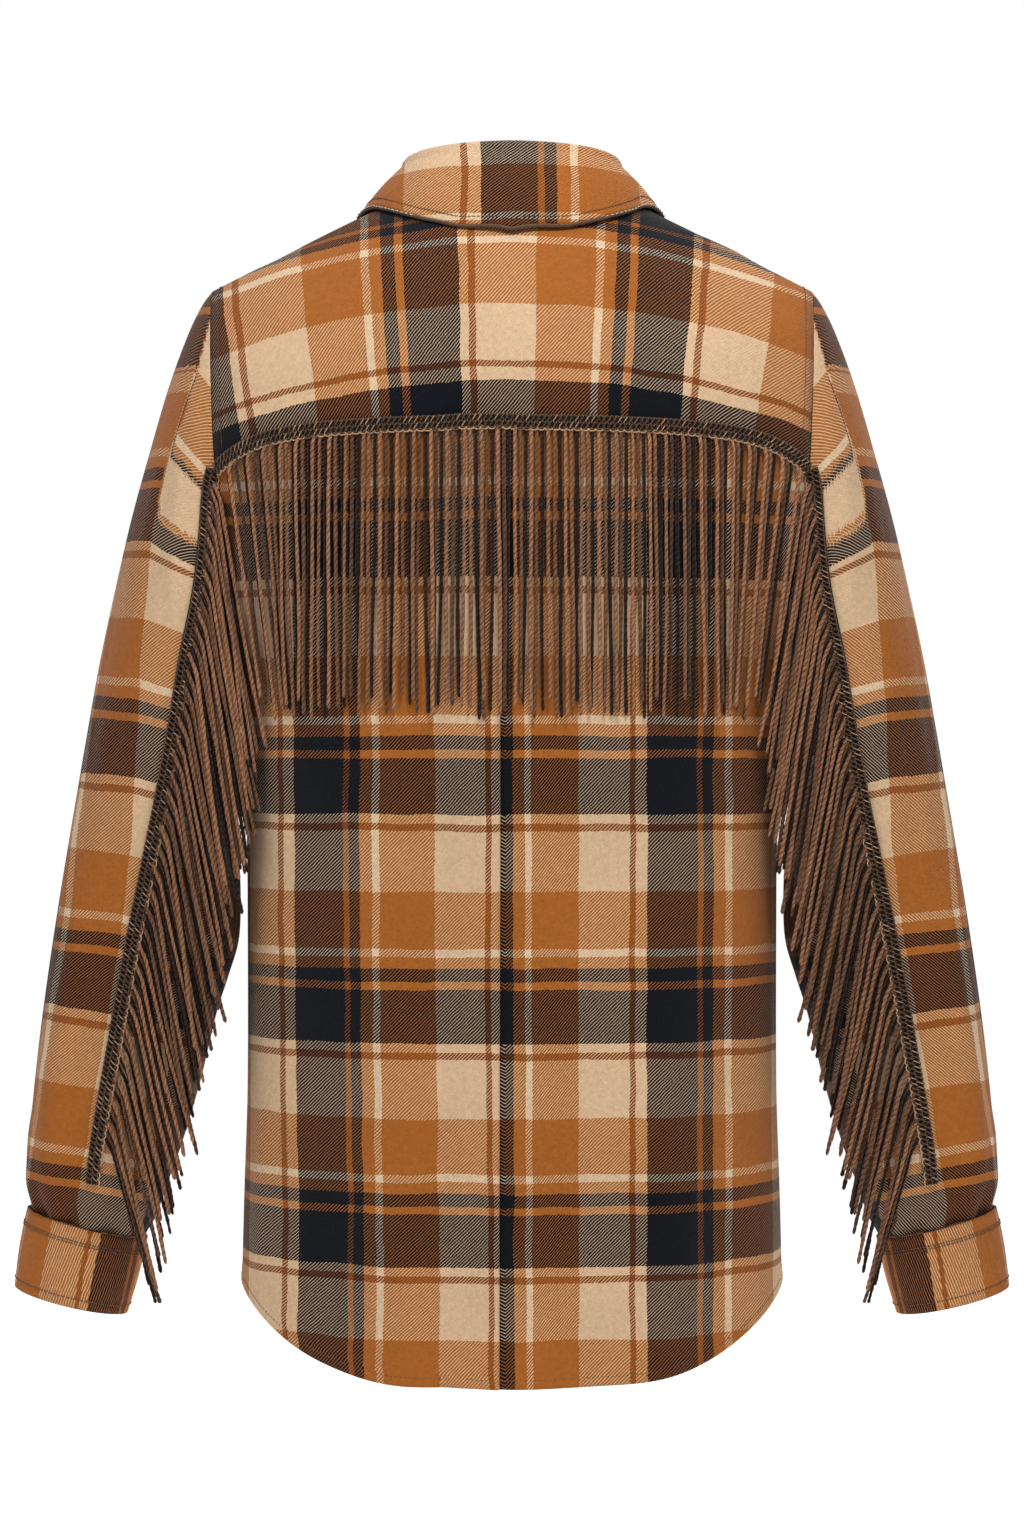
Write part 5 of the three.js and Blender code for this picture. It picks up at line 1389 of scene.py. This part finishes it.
def button(node, place, out):
    """A four-hole button with a raised rim, sewn on with a crossed thread."""
    out, side, up = axes_for(out)
    turn = np.linspace(0, 2 * math.pi, 48, endpoint=False)
    profile = np.array(BUTTON_PROFILE)
    rings = [
        place + out * (SEAM_GAP + BUTTON_THICKNESS * high)
        + (side * np.cos(turn)[:, None] + up * np.sin(turn)[:, None]) * max(radius, 0.02) * BUTTON_RADIUS
        for radius, high in profile
    ]
    grid = np.stack(rings)
    faces = grid_quads(len(rings), 48, True)
    piece = quad_mesh(node + "_moulded", grid.reshape(-1, 3), faces[:, ::-1])
    sets = []
    corners = [(a, b) for a in (-1, 1) for b in (-1, 1)]
    face = place + out * (SEAM_GAP + BUTTON_THICKNESS * 0.62)
    holes = []
    for a, b in corners:
        middle = face + (side * a + up * b) * BUTTON_HOLE_PLACE
        path = np.stack([middle - out * 0.4, middle - out * 0.1, middle + out * 0.04])
        tube_set("", path[None], BUTTON_HOLE_RADIUS, 12, 0.0, facing=up, joined=holes)
    for a, b in ((-1, -1), (-1, 1)):
        for apart in (-0.22, 0.22):
            start = face + (side * a + up * b) * BUTTON_HOLE_PLACE + side * apart
            end = face - (side * a + up * b) * BUTTON_HOLE_PLACE + side * apart
            share = np.linspace(0, 1, 7)[:, None]
            path = mix(start, end, share) + out * (0.15 + 0.55 * np.sin(math.pi * share))
            tube_set("", path[None], 0.3, 6, 0.3, facing=out, joined=sets)
    return piece, join_tubes(node + "_holes", holes), join_tubes(node + "_thread", sets)


def button_places():
    places = []
    for count in range(BUTTON_COUNT):
        z = FIRST_BUTTON_Z - count * BUTTON_SPACING
        normal = body_normal(math.pi, z)
        place = body_point(math.pi, z) + normal * (PLACKET_LIFT + DOUBLE_CLOTH + 0.1)
        places.append((f"front_button_{count + 1}", place, normal))
    out = neck_out(math.pi)
    low, high = neck_point(math.pi), stand_top(math.pi)
    up = unit(high - low)
    normal = unit(out - up * np.dot(out, up))
    places.append(("collar_button", mix(low, high, 0.45) + normal * (STAND_OVERLAP_LIFT + SEAM_GAP), normal))
    angle = math.radians(CUFF_OVERLAP_ANGLE)
    out = tube_out(CUFF_SECTIONS, 1.0, angle)
    place = tube_point(CUFF_SECTIONS, 1.0, angle) + out * CUFF_OVERLAP_LIFT
    for name, side in (("cuff_button_right", 1), ("cuff_button_left", -1)):
        places.append((name, mirrored(place, side), mirrored(out, side)))
    return places


# Materials
def new_material(name, **values):
    material = bpy.data.materials.new(name)
    material.use_nodes = True
    shader = material.node_tree.nodes["Principled BSDF"]
    for socket, value in values.items():
        shader.inputs[socket.replace("_", " ")].default_value = value
    return material, material.node_tree, shader


def add(tree, kind, **settings):
    node = tree.nodes.new(kind)
    for key, value in settings.items():
        setattr(node, key, value)
    return node


def sum_of(tree, operation, first, second=None, third=None):
    node = add(tree, "ShaderNodeMath", operation=operation)
    for socket, value in zip(node.inputs, (first, second, third)):
        if isinstance(value, (int, float)):
            socket.default_value = value
        elif value is not None:
            tree.links.new(value, socket)
    return node.outputs[0]


def blend_colours(tree, share, first, second, kind="MIX"):
    node = add(tree, "ShaderNodeMix", data_type="RGBA", blend_type=kind)
    for socket, value in ((node.inputs[0], share), (node.inputs[6], first), (node.inputs[7], second)):
        if isinstance(value, (int, float)):
            socket.default_value = value
        elif isinstance(value, tuple):
            socket.default_value = (*value, 1.0)
        else:
            tree.links.new(value, socket)
    return node.outputs[2]


def noise(tree, where, scale, detail=2.0, roughness=0.55):
    node = add(tree, "ShaderNodeTexNoise")
    node.inputs["Scale"].default_value = scale
    node.inputs["Detail"].default_value = detail
    node.inputs["Roughness"].default_value = roughness
    tree.links.new(where, node.inputs["Vector"])
    return node.outputs["Fac"]


def range_of(tree, value, low, high, to_low=0.0, to_high=1.0):
    node = add(tree, "ShaderNodeMapRange")
    for key, number in (("From Min", low), ("From Max", high), ("To Min", to_low), ("To Max", to_high)):
        node.inputs[key].default_value = number
    tree.links.new(value, node.inputs["Value"])
    return node.outputs["Result"]


def yarn_bands(tree, place, bands):
    """Colours of the yarns across one repeat, changing sharply from band to band."""
    repeat = bands[-1][0]
    share = sum_of(tree, "FRACT", sum_of(tree, "DIVIDE", place, repeat))
    ramp = add(tree, "ShaderNodeValToRGB")
    ramp.color_ramp.interpolation = "CONSTANT"
    starts = [0.0] + [end / repeat for end, _ in bands[:-1]]
    ramp.color_ramp.elements[1].position = starts[1]
    for start in starts[2:]:
        ramp.color_ramp.elements.new(start)
    for element, (_, colour) in zip(ramp.color_ramp.elements, bands):
        element.color = (*YARN[colour], 1.0)
    tree.links.new(share, ramp.inputs[0])
    return ramp.outputs[0]


def new_group(name, inputs, outputs):
    group = bpy.data.node_groups.new(name, "ShaderNodeTree")
    for label, value in inputs:
        group.interface.new_socket(label, in_out="INPUT", socket_type="NodeSocketFloat").default_value = value
    for label, kind in outputs:
        group.interface.new_socket(label, in_out="OUTPUT", socket_type=kind)
    start, end = add(group, "NodeGroupInput"), add(group, "NodeGroupOutput")
    return group, start, end


def brightness(tree, colour):
    node = add(tree, "ShaderNodeRGBToBW")
    tree.links.new(colour, node.inputs[0])
    return node.outputs[0]


# The fuzz of the darker yarn spreads over the paler one: at this difference in brightness, by this much
DARK_COVER_STEP = 0.4
DARK_COVER = 0.62


def woven_twill_group():
    """Warp and weft bands crossing in a two-and-two twill, brushed to a nap."""
    group, start, end = new_group(
        "woven_twill", [("Twill Pitch", 2.0), ("Fuzz", 1.0)],
        [("Color", "NodeSocketColor"), ("Height", "NodeSocketFloat"), ("Roughness", "NodeSocketFloat")],
    )
    place = add(group, "ShaderNodeAttribute", attribute_name="cloth")
    apart = add(group, "ShaderNodeSeparateXYZ")
    group.links.new(place.outputs["Vector"], apart.inputs[0])
    body = add(group, "ShaderNodeTexCoord").outputs["Object"]
    wobble = sum_of(group, "MULTIPLY", sum_of(group, "SUBTRACT", noise(group, body, 420, 2), 0.5), 1.5)
    drift = sum_of(group, "MULTIPLY", sum_of(group, "SUBTRACT", noise(group, body, 26, 1), 0.5), 3.0)
    warp_place = sum_of(group, "ADD", sum_of(group, "ADD", apart.outputs[0], wobble), drift)
    weft_place = sum_of(group, "ADD", sum_of(group, "ADD", apart.outputs[1], wobble), drift)
    warp = yarn_bands(group, warp_place, WARP_BANDS)
    weft = yarn_bands(group, weft_place, WEFT_BANDS)
    run = sum_of(group, "ADD", sum_of(group, "ADD", apart.outputs[0], apart.outputs[1]), apart.outputs[2])
    slant = sum_of(group, "DIVIDE", run, start.outputs["Twill Pitch"])
    slant = sum_of(group, "ADD", slant, sum_of(group, "MULTIPLY", noise(group, body, 120, 1), 0.8))
    wave = sum_of(group, "SINE", sum_of(group, "MULTIPLY", slant, 2 * math.pi))
    paler = sum_of(group, "SUBTRACT", brightness(group, weft), brightness(group, warp))
    paler = range_of(group, paler, -DARK_COVER_STEP, DARK_COVER_STEP, -DARK_COVER, DARK_COVER)
    over = range_of(group, sum_of(group, "SUBTRACT", wave, paler), -0.3, 0.3, 0.03, 0.96)
    woven = blend_colours(group, over, warp, weft)
    fine = noise(group, body, 1500, 3, 0.7)
    nap = noise(group, body, 330, 3, 0.65)
    broad = noise(group, body, 16, 2)
    light = range_of(group, fine, 0.25, 0.75, 0.80, 1.16)
    light = sum_of(group, "ADD", light, range_of(group, nap, 0.3, 0.7, -0.10, 0.10))
    light = sum_of(group, "ADD", light, range_of(group, broad, 0.3, 0.7, -0.04, 0.04))
    grey = add(group, "ShaderNodeCombineColor")
    for socket in grey.inputs:
        group.links.new(light, socket)
    straight = add(group, "ShaderNodeGamma")
    straight.inputs["Gamma"].default_value = DISPLAY_CURVE
    group.links.new(woven, straight.inputs["Color"])
    shaded = blend_colours(group, 1.0, straight.outputs["Color"], grey.outputs[0], "MULTIPLY")
    lint = sum_of(group, "MULTIPLY", range_of(group, fine, 0.58, 0.80, 0.0, 0.035), start.outputs["Fuzz"])
    group.links.new(blend_colours(group, lint, shaded, (0.50, 0.36, 0.22)), end.inputs["Color"])
    ribs = sum_of(group, "MULTIPLY", range_of(group, wave, -1, 1), 0.45)
    group.links.new(sum_of(group, "ADD", ribs, sum_of(group, "ADD", fine, nap)), end.inputs["Height"])
    group.links.new(range_of(group, nap, 0.3, 0.7, 0.86, 0.98), end.inputs["Roughness"])
    return group


def twisted_yarn_group():
    """Painted shade and highlight running round a cord along its ply twist, with uneven dye and stray fibres.
    """
    # Contrast sets how strongly the painted ply shade and highlight darken and lighten the yarn
    group, start, end = new_group(
        "twisted_yarn", [("Ply Pitch", 2.2), ("Contrast", 0.5)],
        [("Shade", "NodeSocketFloat"), ("Light", "NodeSocketColor"), ("Height", "NodeSocketFloat")],
    )
    place = add(group, "ShaderNodeAttribute", attribute_name="yarn")
    apart = add(group, "ShaderNodeSeparateXYZ")
    group.links.new(place.outputs["Vector"], apart.inputs[0])
    body = add(group, "ShaderNodeTexCoord").outputs["Object"]
    turns = sum_of(group, "DIVIDE", apart.outputs[0], start.outputs["Ply Pitch"])
    turns = sum_of(group, "ADD", turns, apart.outputs[1])
    turns = sum_of(group, "ADD", turns, sum_of(group, "MULTIPLY", noise(group, body, 240, 1), 0.8))
    wave = sum_of(group, "SINE", sum_of(group, "MULTIPLY", turns, 2 * math.pi))
    fibre = noise(group, body, 1300, 3, 0.7)
    dye = noise(group, body, 70, 2)
    # Painted shade in the ply grooves and painted highlight on the ply crests, scaled by Contrast
    light = sum_of(group, "MULTIPLY", wave, sum_of(group, "MULTIPLY", start.outputs["Contrast"], 0.55))
    light = sum_of(group, "ADD", light, 1.0)
    light = sum_of(group, "ADD", light, range_of(group, fibre, 0.25, 0.75, -0.28, 0.3))
    light = sum_of(group, "ADD", light, range_of(group, dye, 0.3, 0.7, -0.12, 0.12))
    grey = add(group, "ShaderNodeCombineColor")
    for socket in grey.inputs:
        group.links.new(light, socket)
    group.links.new(apart.outputs[2], end.inputs["Shade"])
    group.links.new(grey.outputs[0], end.inputs["Light"])
    group.links.new(sum_of(group, "ADD", sum_of(group, "MULTIPLY", wave, 0.6), fibre), end.inputs["Height"])
    return group


def place_group(tree, group, **values):
    node = add(tree, "ShaderNodeGroup", node_tree=group)
    for label, value in values.items():
        node.inputs[label.replace("_", " ")].default_value = value
    return node


def bumped(tree, shader, height, strength, distance):
    bump = add(tree, "ShaderNodeBump")
    bump.inputs["Strength"].default_value = strength
    bump.inputs["Distance"].default_value = distance
    tree.links.new(height, bump.inputs["Height"])
    tree.links.new(bump.outputs[0], shader.inputs["Normal"])


def flannel(group):
    material, tree, shader = new_material(
        "brushed_flannel", Roughness=0.92, Sheen_Weight=0.08, Sheen_Roughness=0.55
    )
    shader.inputs["Specular IOR Level"].default_value = 0.15
    weave = place_group(tree, group, Twill_Pitch=2.2, Fuzz=1.0)
    tree.links.new(weave.outputs["Color"], shader.inputs["Base Color"])
    tree.links.new(weave.outputs["Roughness"], shader.inputs["Roughness"])
    bumped(tree, shader, weave.outputs["Height"], 0.55, 0.0006)
    return material


def dyed_yarn(name, group, dark, light, pitch, painted_ply_shade, pale=None, pale_from=0.75):
    """Yarn between two browns, with a paler colour where its shade is high."""
    material, tree, shader = new_material(name, Roughness=0.9, Sheen_Weight=0.15, Sheen_Roughness=0.5)
    shader.inputs["Specular IOR Level"].default_value = 0.2
    yarn = place_group(tree, group, Ply_Pitch=pitch, Contrast=painted_ply_shade)
    base = blend_colours(tree, range_of(tree, yarn.outputs["Shade"], -1, 1), dark, light)
    if pale:
        paleness = range_of(tree, yarn.outputs["Shade"], pale_from, pale_from + 0.1)
        base = blend_colours(tree, paleness, base, pale)
    colour = blend_colours(tree, 1.0, base, yarn.outputs["Light"], "MULTIPLY")
    tree.links.new(colour, shader.inputs["Base Color"])
    bumped(tree, shader, yarn.outputs["Height"], 0.7, 0.0005)
    return material


def button_resin():
    material, tree, shader = new_material("marbled_button_resin", Roughness=0.28, Coat_Weight=0.3)
    body = add(tree, "ShaderNodeTexCoord").outputs["Object"]
    cloud = range_of(tree, noise(tree, body, 260, 4, 0.6), 0.35, 0.7)
    colour = blend_colours(tree, cloud, (0.022, 0.013, 0.009), (0.11, 0.06, 0.032))
    tree.links.new(colour, shader.inputs["Base Color"])
    wear = range_of(tree, noise(tree, body, 900, 2), 0.3, 0.7, 0.22, 0.36)
    tree.links.new(wear, shader.inputs["Roughness"])
    return material


def dark_hole():
    material, tree, shader = new_material("button_hole_shadow", Roughness=0.9)
    body = add(tree, "ShaderNodeTexCoord").outputs["Object"]
    shade = range_of(tree, noise(tree, body, 1200, 2), 0.3, 0.7)
    colour = blend_colours(tree, shade, (0.004, 0.003, 0.002), (0.012, 0.008, 0.006))
    tree.links.new(colour, shader.inputs["Base Color"])
    return material


def studio_paper():
    material, tree, shader = new_material("white_studio_paper", Roughness=0.95, Emission_Strength=0.45)
    shader.inputs["Emission Color"].default_value = (1.0, 1.0, 1.0, 1.0)
    body = add(tree, "ShaderNodeTexCoord").outputs["Object"]
    tone = range_of(tree, noise(tree, body, 3, 1), 0.3, 0.7)
    colour = blend_colours(tree, tone, (0.93, 0.93, 0.925), (0.95, 0.95, 0.945))
    tree.links.new(colour, shader.inputs["Base Color"])
    return material


# Studio
SKY_STRENGTH = 0.18
FLOOR_RINGS = (5, 700, 1500, 2600)
SHIRT_MIDDLE = (0, 0, -0.35)
# Square lights in metres and watts: name, place, aim, size, power
LIGHTS = [
    ("key_light", (-0.9, -1.6, 1.2), (0, 0, -0.1), 0.4, 8),
    ("fill_light", (1.7, -2.2, 0.3), SHIRT_MIDDLE, 1.8, 2),
    ("upper_light", (0.2, -1.1, 1.05), (0, 0, -0.05), 0.4, 15),
    ("top_light", (0, -0.2, 2.0), SHIRT_MIDDLE, 1.6, 14),
    ("far_key_light", (1.5, 2.3, 0.9), SHIRT_MIDDLE, 1.5, 30),
    ("far_fill_light", (-1.7, 2.2, 0.2), SHIRT_MIDDLE, 1.8, 18),
]


def studio_camera():
    camera = bpy.data.cameras.new("front_camera")
    camera.lens = CAMERA_LENS
    camera.sensor_width = CAMERA_SENSOR
    placed = bpy.data.objects.new("front_camera", camera)
    placed.location = (0, -CAMERA_AWAY, CAMERA_HEIGHT)
    placed.rotation_euler = (math.pi / 2, 0, 0)
    bpy.context.scene.collection.objects.link(placed)
    bpy.context.scene.camera = placed


def soft_light(name, where, aim, size, power):
    light = bpy.data.lights.new(name, "AREA")
    light.shape = "SQUARE"
    light.size = size
    light.energy = power
    placed = bpy.data.objects.new(name, light)
    placed.location = where
    away = np.array(where, float) - np.array(aim, float)
    flat = math.hypot(away[0], away[1])
    placed.rotation_euler = (math.atan2(flat, away[2]), 0, math.atan2(away[0], -away[1]))
    bpy.context.scene.collection.objects.link(placed)


def studio():
    world = bpy.data.worlds.new("white_studio")
    world.use_nodes = True
    tree = world.node_tree
    ground = tree.nodes["Background"]
    ground.inputs["Color"].default_value = (1.0, 1.0, 1.0, 1.0)
    ground.inputs["Strength"].default_value = SKY_STRENGTH
    seen = add(tree, "ShaderNodeBackground")
    seen.inputs["Color"].default_value = (1.0, 1.0, 1.0, 1.0)
    ray = add(tree, "ShaderNodeLightPath")
    choose = add(tree, "ShaderNodeMixShader")
    tree.links.new(ray.outputs["Is Camera Ray"], choose.inputs[0])
    tree.links.new(ground.outputs[0], choose.inputs[1])
    tree.links.new(seen.outputs[0], choose.inputs[2])
    tree.links.new(choose.outputs[0], tree.nodes["World Output"].inputs["Surface"])
    bpy.context.scene.world = world
    bpy.context.scene.view_settings.view_transform = "Standard"
    for name, where, aim, size, power in LIGHTS:
        soft_light(name, where, aim, size, power)
    turn = np.linspace(0, 2 * math.pi, 64, endpoint=False)
    rings = [
        points(radius * np.cos(turn), radius * np.sin(turn), FLOOR_HEIGHT / METRES)
        for radius in FLOOR_RINGS
    ]
    floor = quad_mesh("studio_floor", np.stack(rings).reshape(-1, 3), grid_quads(4, 64, True))
    floor.data.materials.append(studio_paper())


# Dressing
def finished(piece, material, nodes=()):
    piece.data.materials.append(material)
    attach(piece, "root")
    if nodes:
        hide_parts(*nodes)
    return piece


def cut_of(piece):
    """Area of one side of a cloth wall, in square metres."""
    areas = np.zeros(len(piece.data.polygons))
    piece.data.polygons.foreach_get("area", areas)
    return float(areas.sum()) / 2


studio_camera()
studio()
twill = woven_twill_group()
ply = twisted_yarn_group()
cloth_finish = flannel(twill)
# The fifth value of each finish sets the strength of its painted ply shade and highlight
cord_finish = dyed_yarn(
    "fringe_cord_yarn", ply, (0.022, 0.008, 0.003), (0.36, 0.158, 0.072), CORD_PLY, 0.75
)
# The near-black end of the crochet yarn, used for the braid's ground, is painted shade between the loops
braid_finish = dyed_yarn(
    "crochet_yarn", ply, (0.012, 0.006, 0.003), (0.24, 0.125, 0.068), 1.6, 0.3, (0.62, 0.38, 0.22)
)
thread_finish = dyed_yarn(
    "sewing_thread", ply, (0.13, 0.065, 0.032), (0.24, 0.13, 0.07), 0.9, 0.3, (0.78, 0.66, 0.50), 1.2
)
resin = button_resin()
hole_shade = dark_hole()

# Cloth pieces: flat width and length of the cut in metres, how it is held, what it rests on
CUTS = {
    "back_panel": ((0.50, 0.60), "hung", ["back_yoke"]),
    "back_yoke": ((0.45, 0.27), "draped", ["collar_stand"]),
    "front_right": ((0.25, 0.66), "hung", ["back_yoke"]),
    "front_left": ((0.23, 0.66), "hung", ["back_yoke"]),
    "front_placket": ((0.034, 0.66), "hung", ["front_right"]),
    "collar_stand": ((0.47, 0.04), "folded", ["back_yoke"]),
    "collar_leaf": ((0.62, 0.08), "folded", ["collar_stand"]),
    "sleeve_right": ((0.50, 0.62), "gathered", ["back_yoke", "cuff_right"]),
    "sleeve_left": ((0.50, 0.62), "gathered", ["back_yoke", "cuff_left"]),
    "cuff_right": ((0.28, 0.056), "folded", ["sleeve_right"]),
    "cuff_left": ((0.28, 0.056), "folded", ["sleeve_left"]),
}
cloth_pieces = {
    "back_panel": back_panel(),
    "back_yoke": back_yoke(),
    "front_right": front_panel("front_right_cloth", 1, FRONTS_MEET_X + SEAM_GAP),
    "front_left": front_panel("front_left_cloth", -1, -FRONTS_MEET_X + SEAM_GAP),
    "front_placket": front_placket(),
    "collar_stand": collar_stand(),
    "collar_leaf": collar_leaf(),
    "sleeve_right": sleeve("sleeve_right_cloth", 1),
    "sleeve_left": sleeve("sleeve_left_cloth", -1),
    "cuff_right": cuff("cuff_right_cloth", 1),
    "cuff_left": cuff("cuff_left_cloth", -1),
}
for node, piece in cloth_pieces.items():
    finished(piece, cloth_finish, [node])
    flat, held, rests_on = CUTS[node]
    min(cut_of(piece), flat[0] * flat[1])

finished(back_fringe(), cord_finish, ["fringe_back"])
line, out = back_braid_line()
finished(braid("back_braid_chain", line, out, -1), braid_finish)
finished(braid_strip("back_braid_ground", line, out), braid_finish)
for word, side in (("right", 1), ("left", -1)):
    cords = sleeve_fringe(f"sleeve_{word}_fringe_cords", side)
    finished(cords, cord_finish, [f"fringe_sleeve_{word}"])
    line, out = sleeve_braid_line(side)
    finished(braid(f"sleeve_{word}_braid_chain", line, out, -side), braid_finish)
    finished(braid_strip(f"sleeve_{word}_braid_ground_and_shade", line, out), braid_finish)

sew_hems()
sew_yoke()
sew_placket()
collar_edge = sew_collar()
sew_cuffs()
finished(join_tubes("shirt_stitching", THREADS), thread_finish)
finished(collar_binding(collar_edge), thread_finish)
for node, place, outward in button_places():
    moulded, holes, thread = button(node, place, outward)
    finished(moulded, resin, [node])
    finished(holes, hole_shade)
    finished(thread, thread_finish)
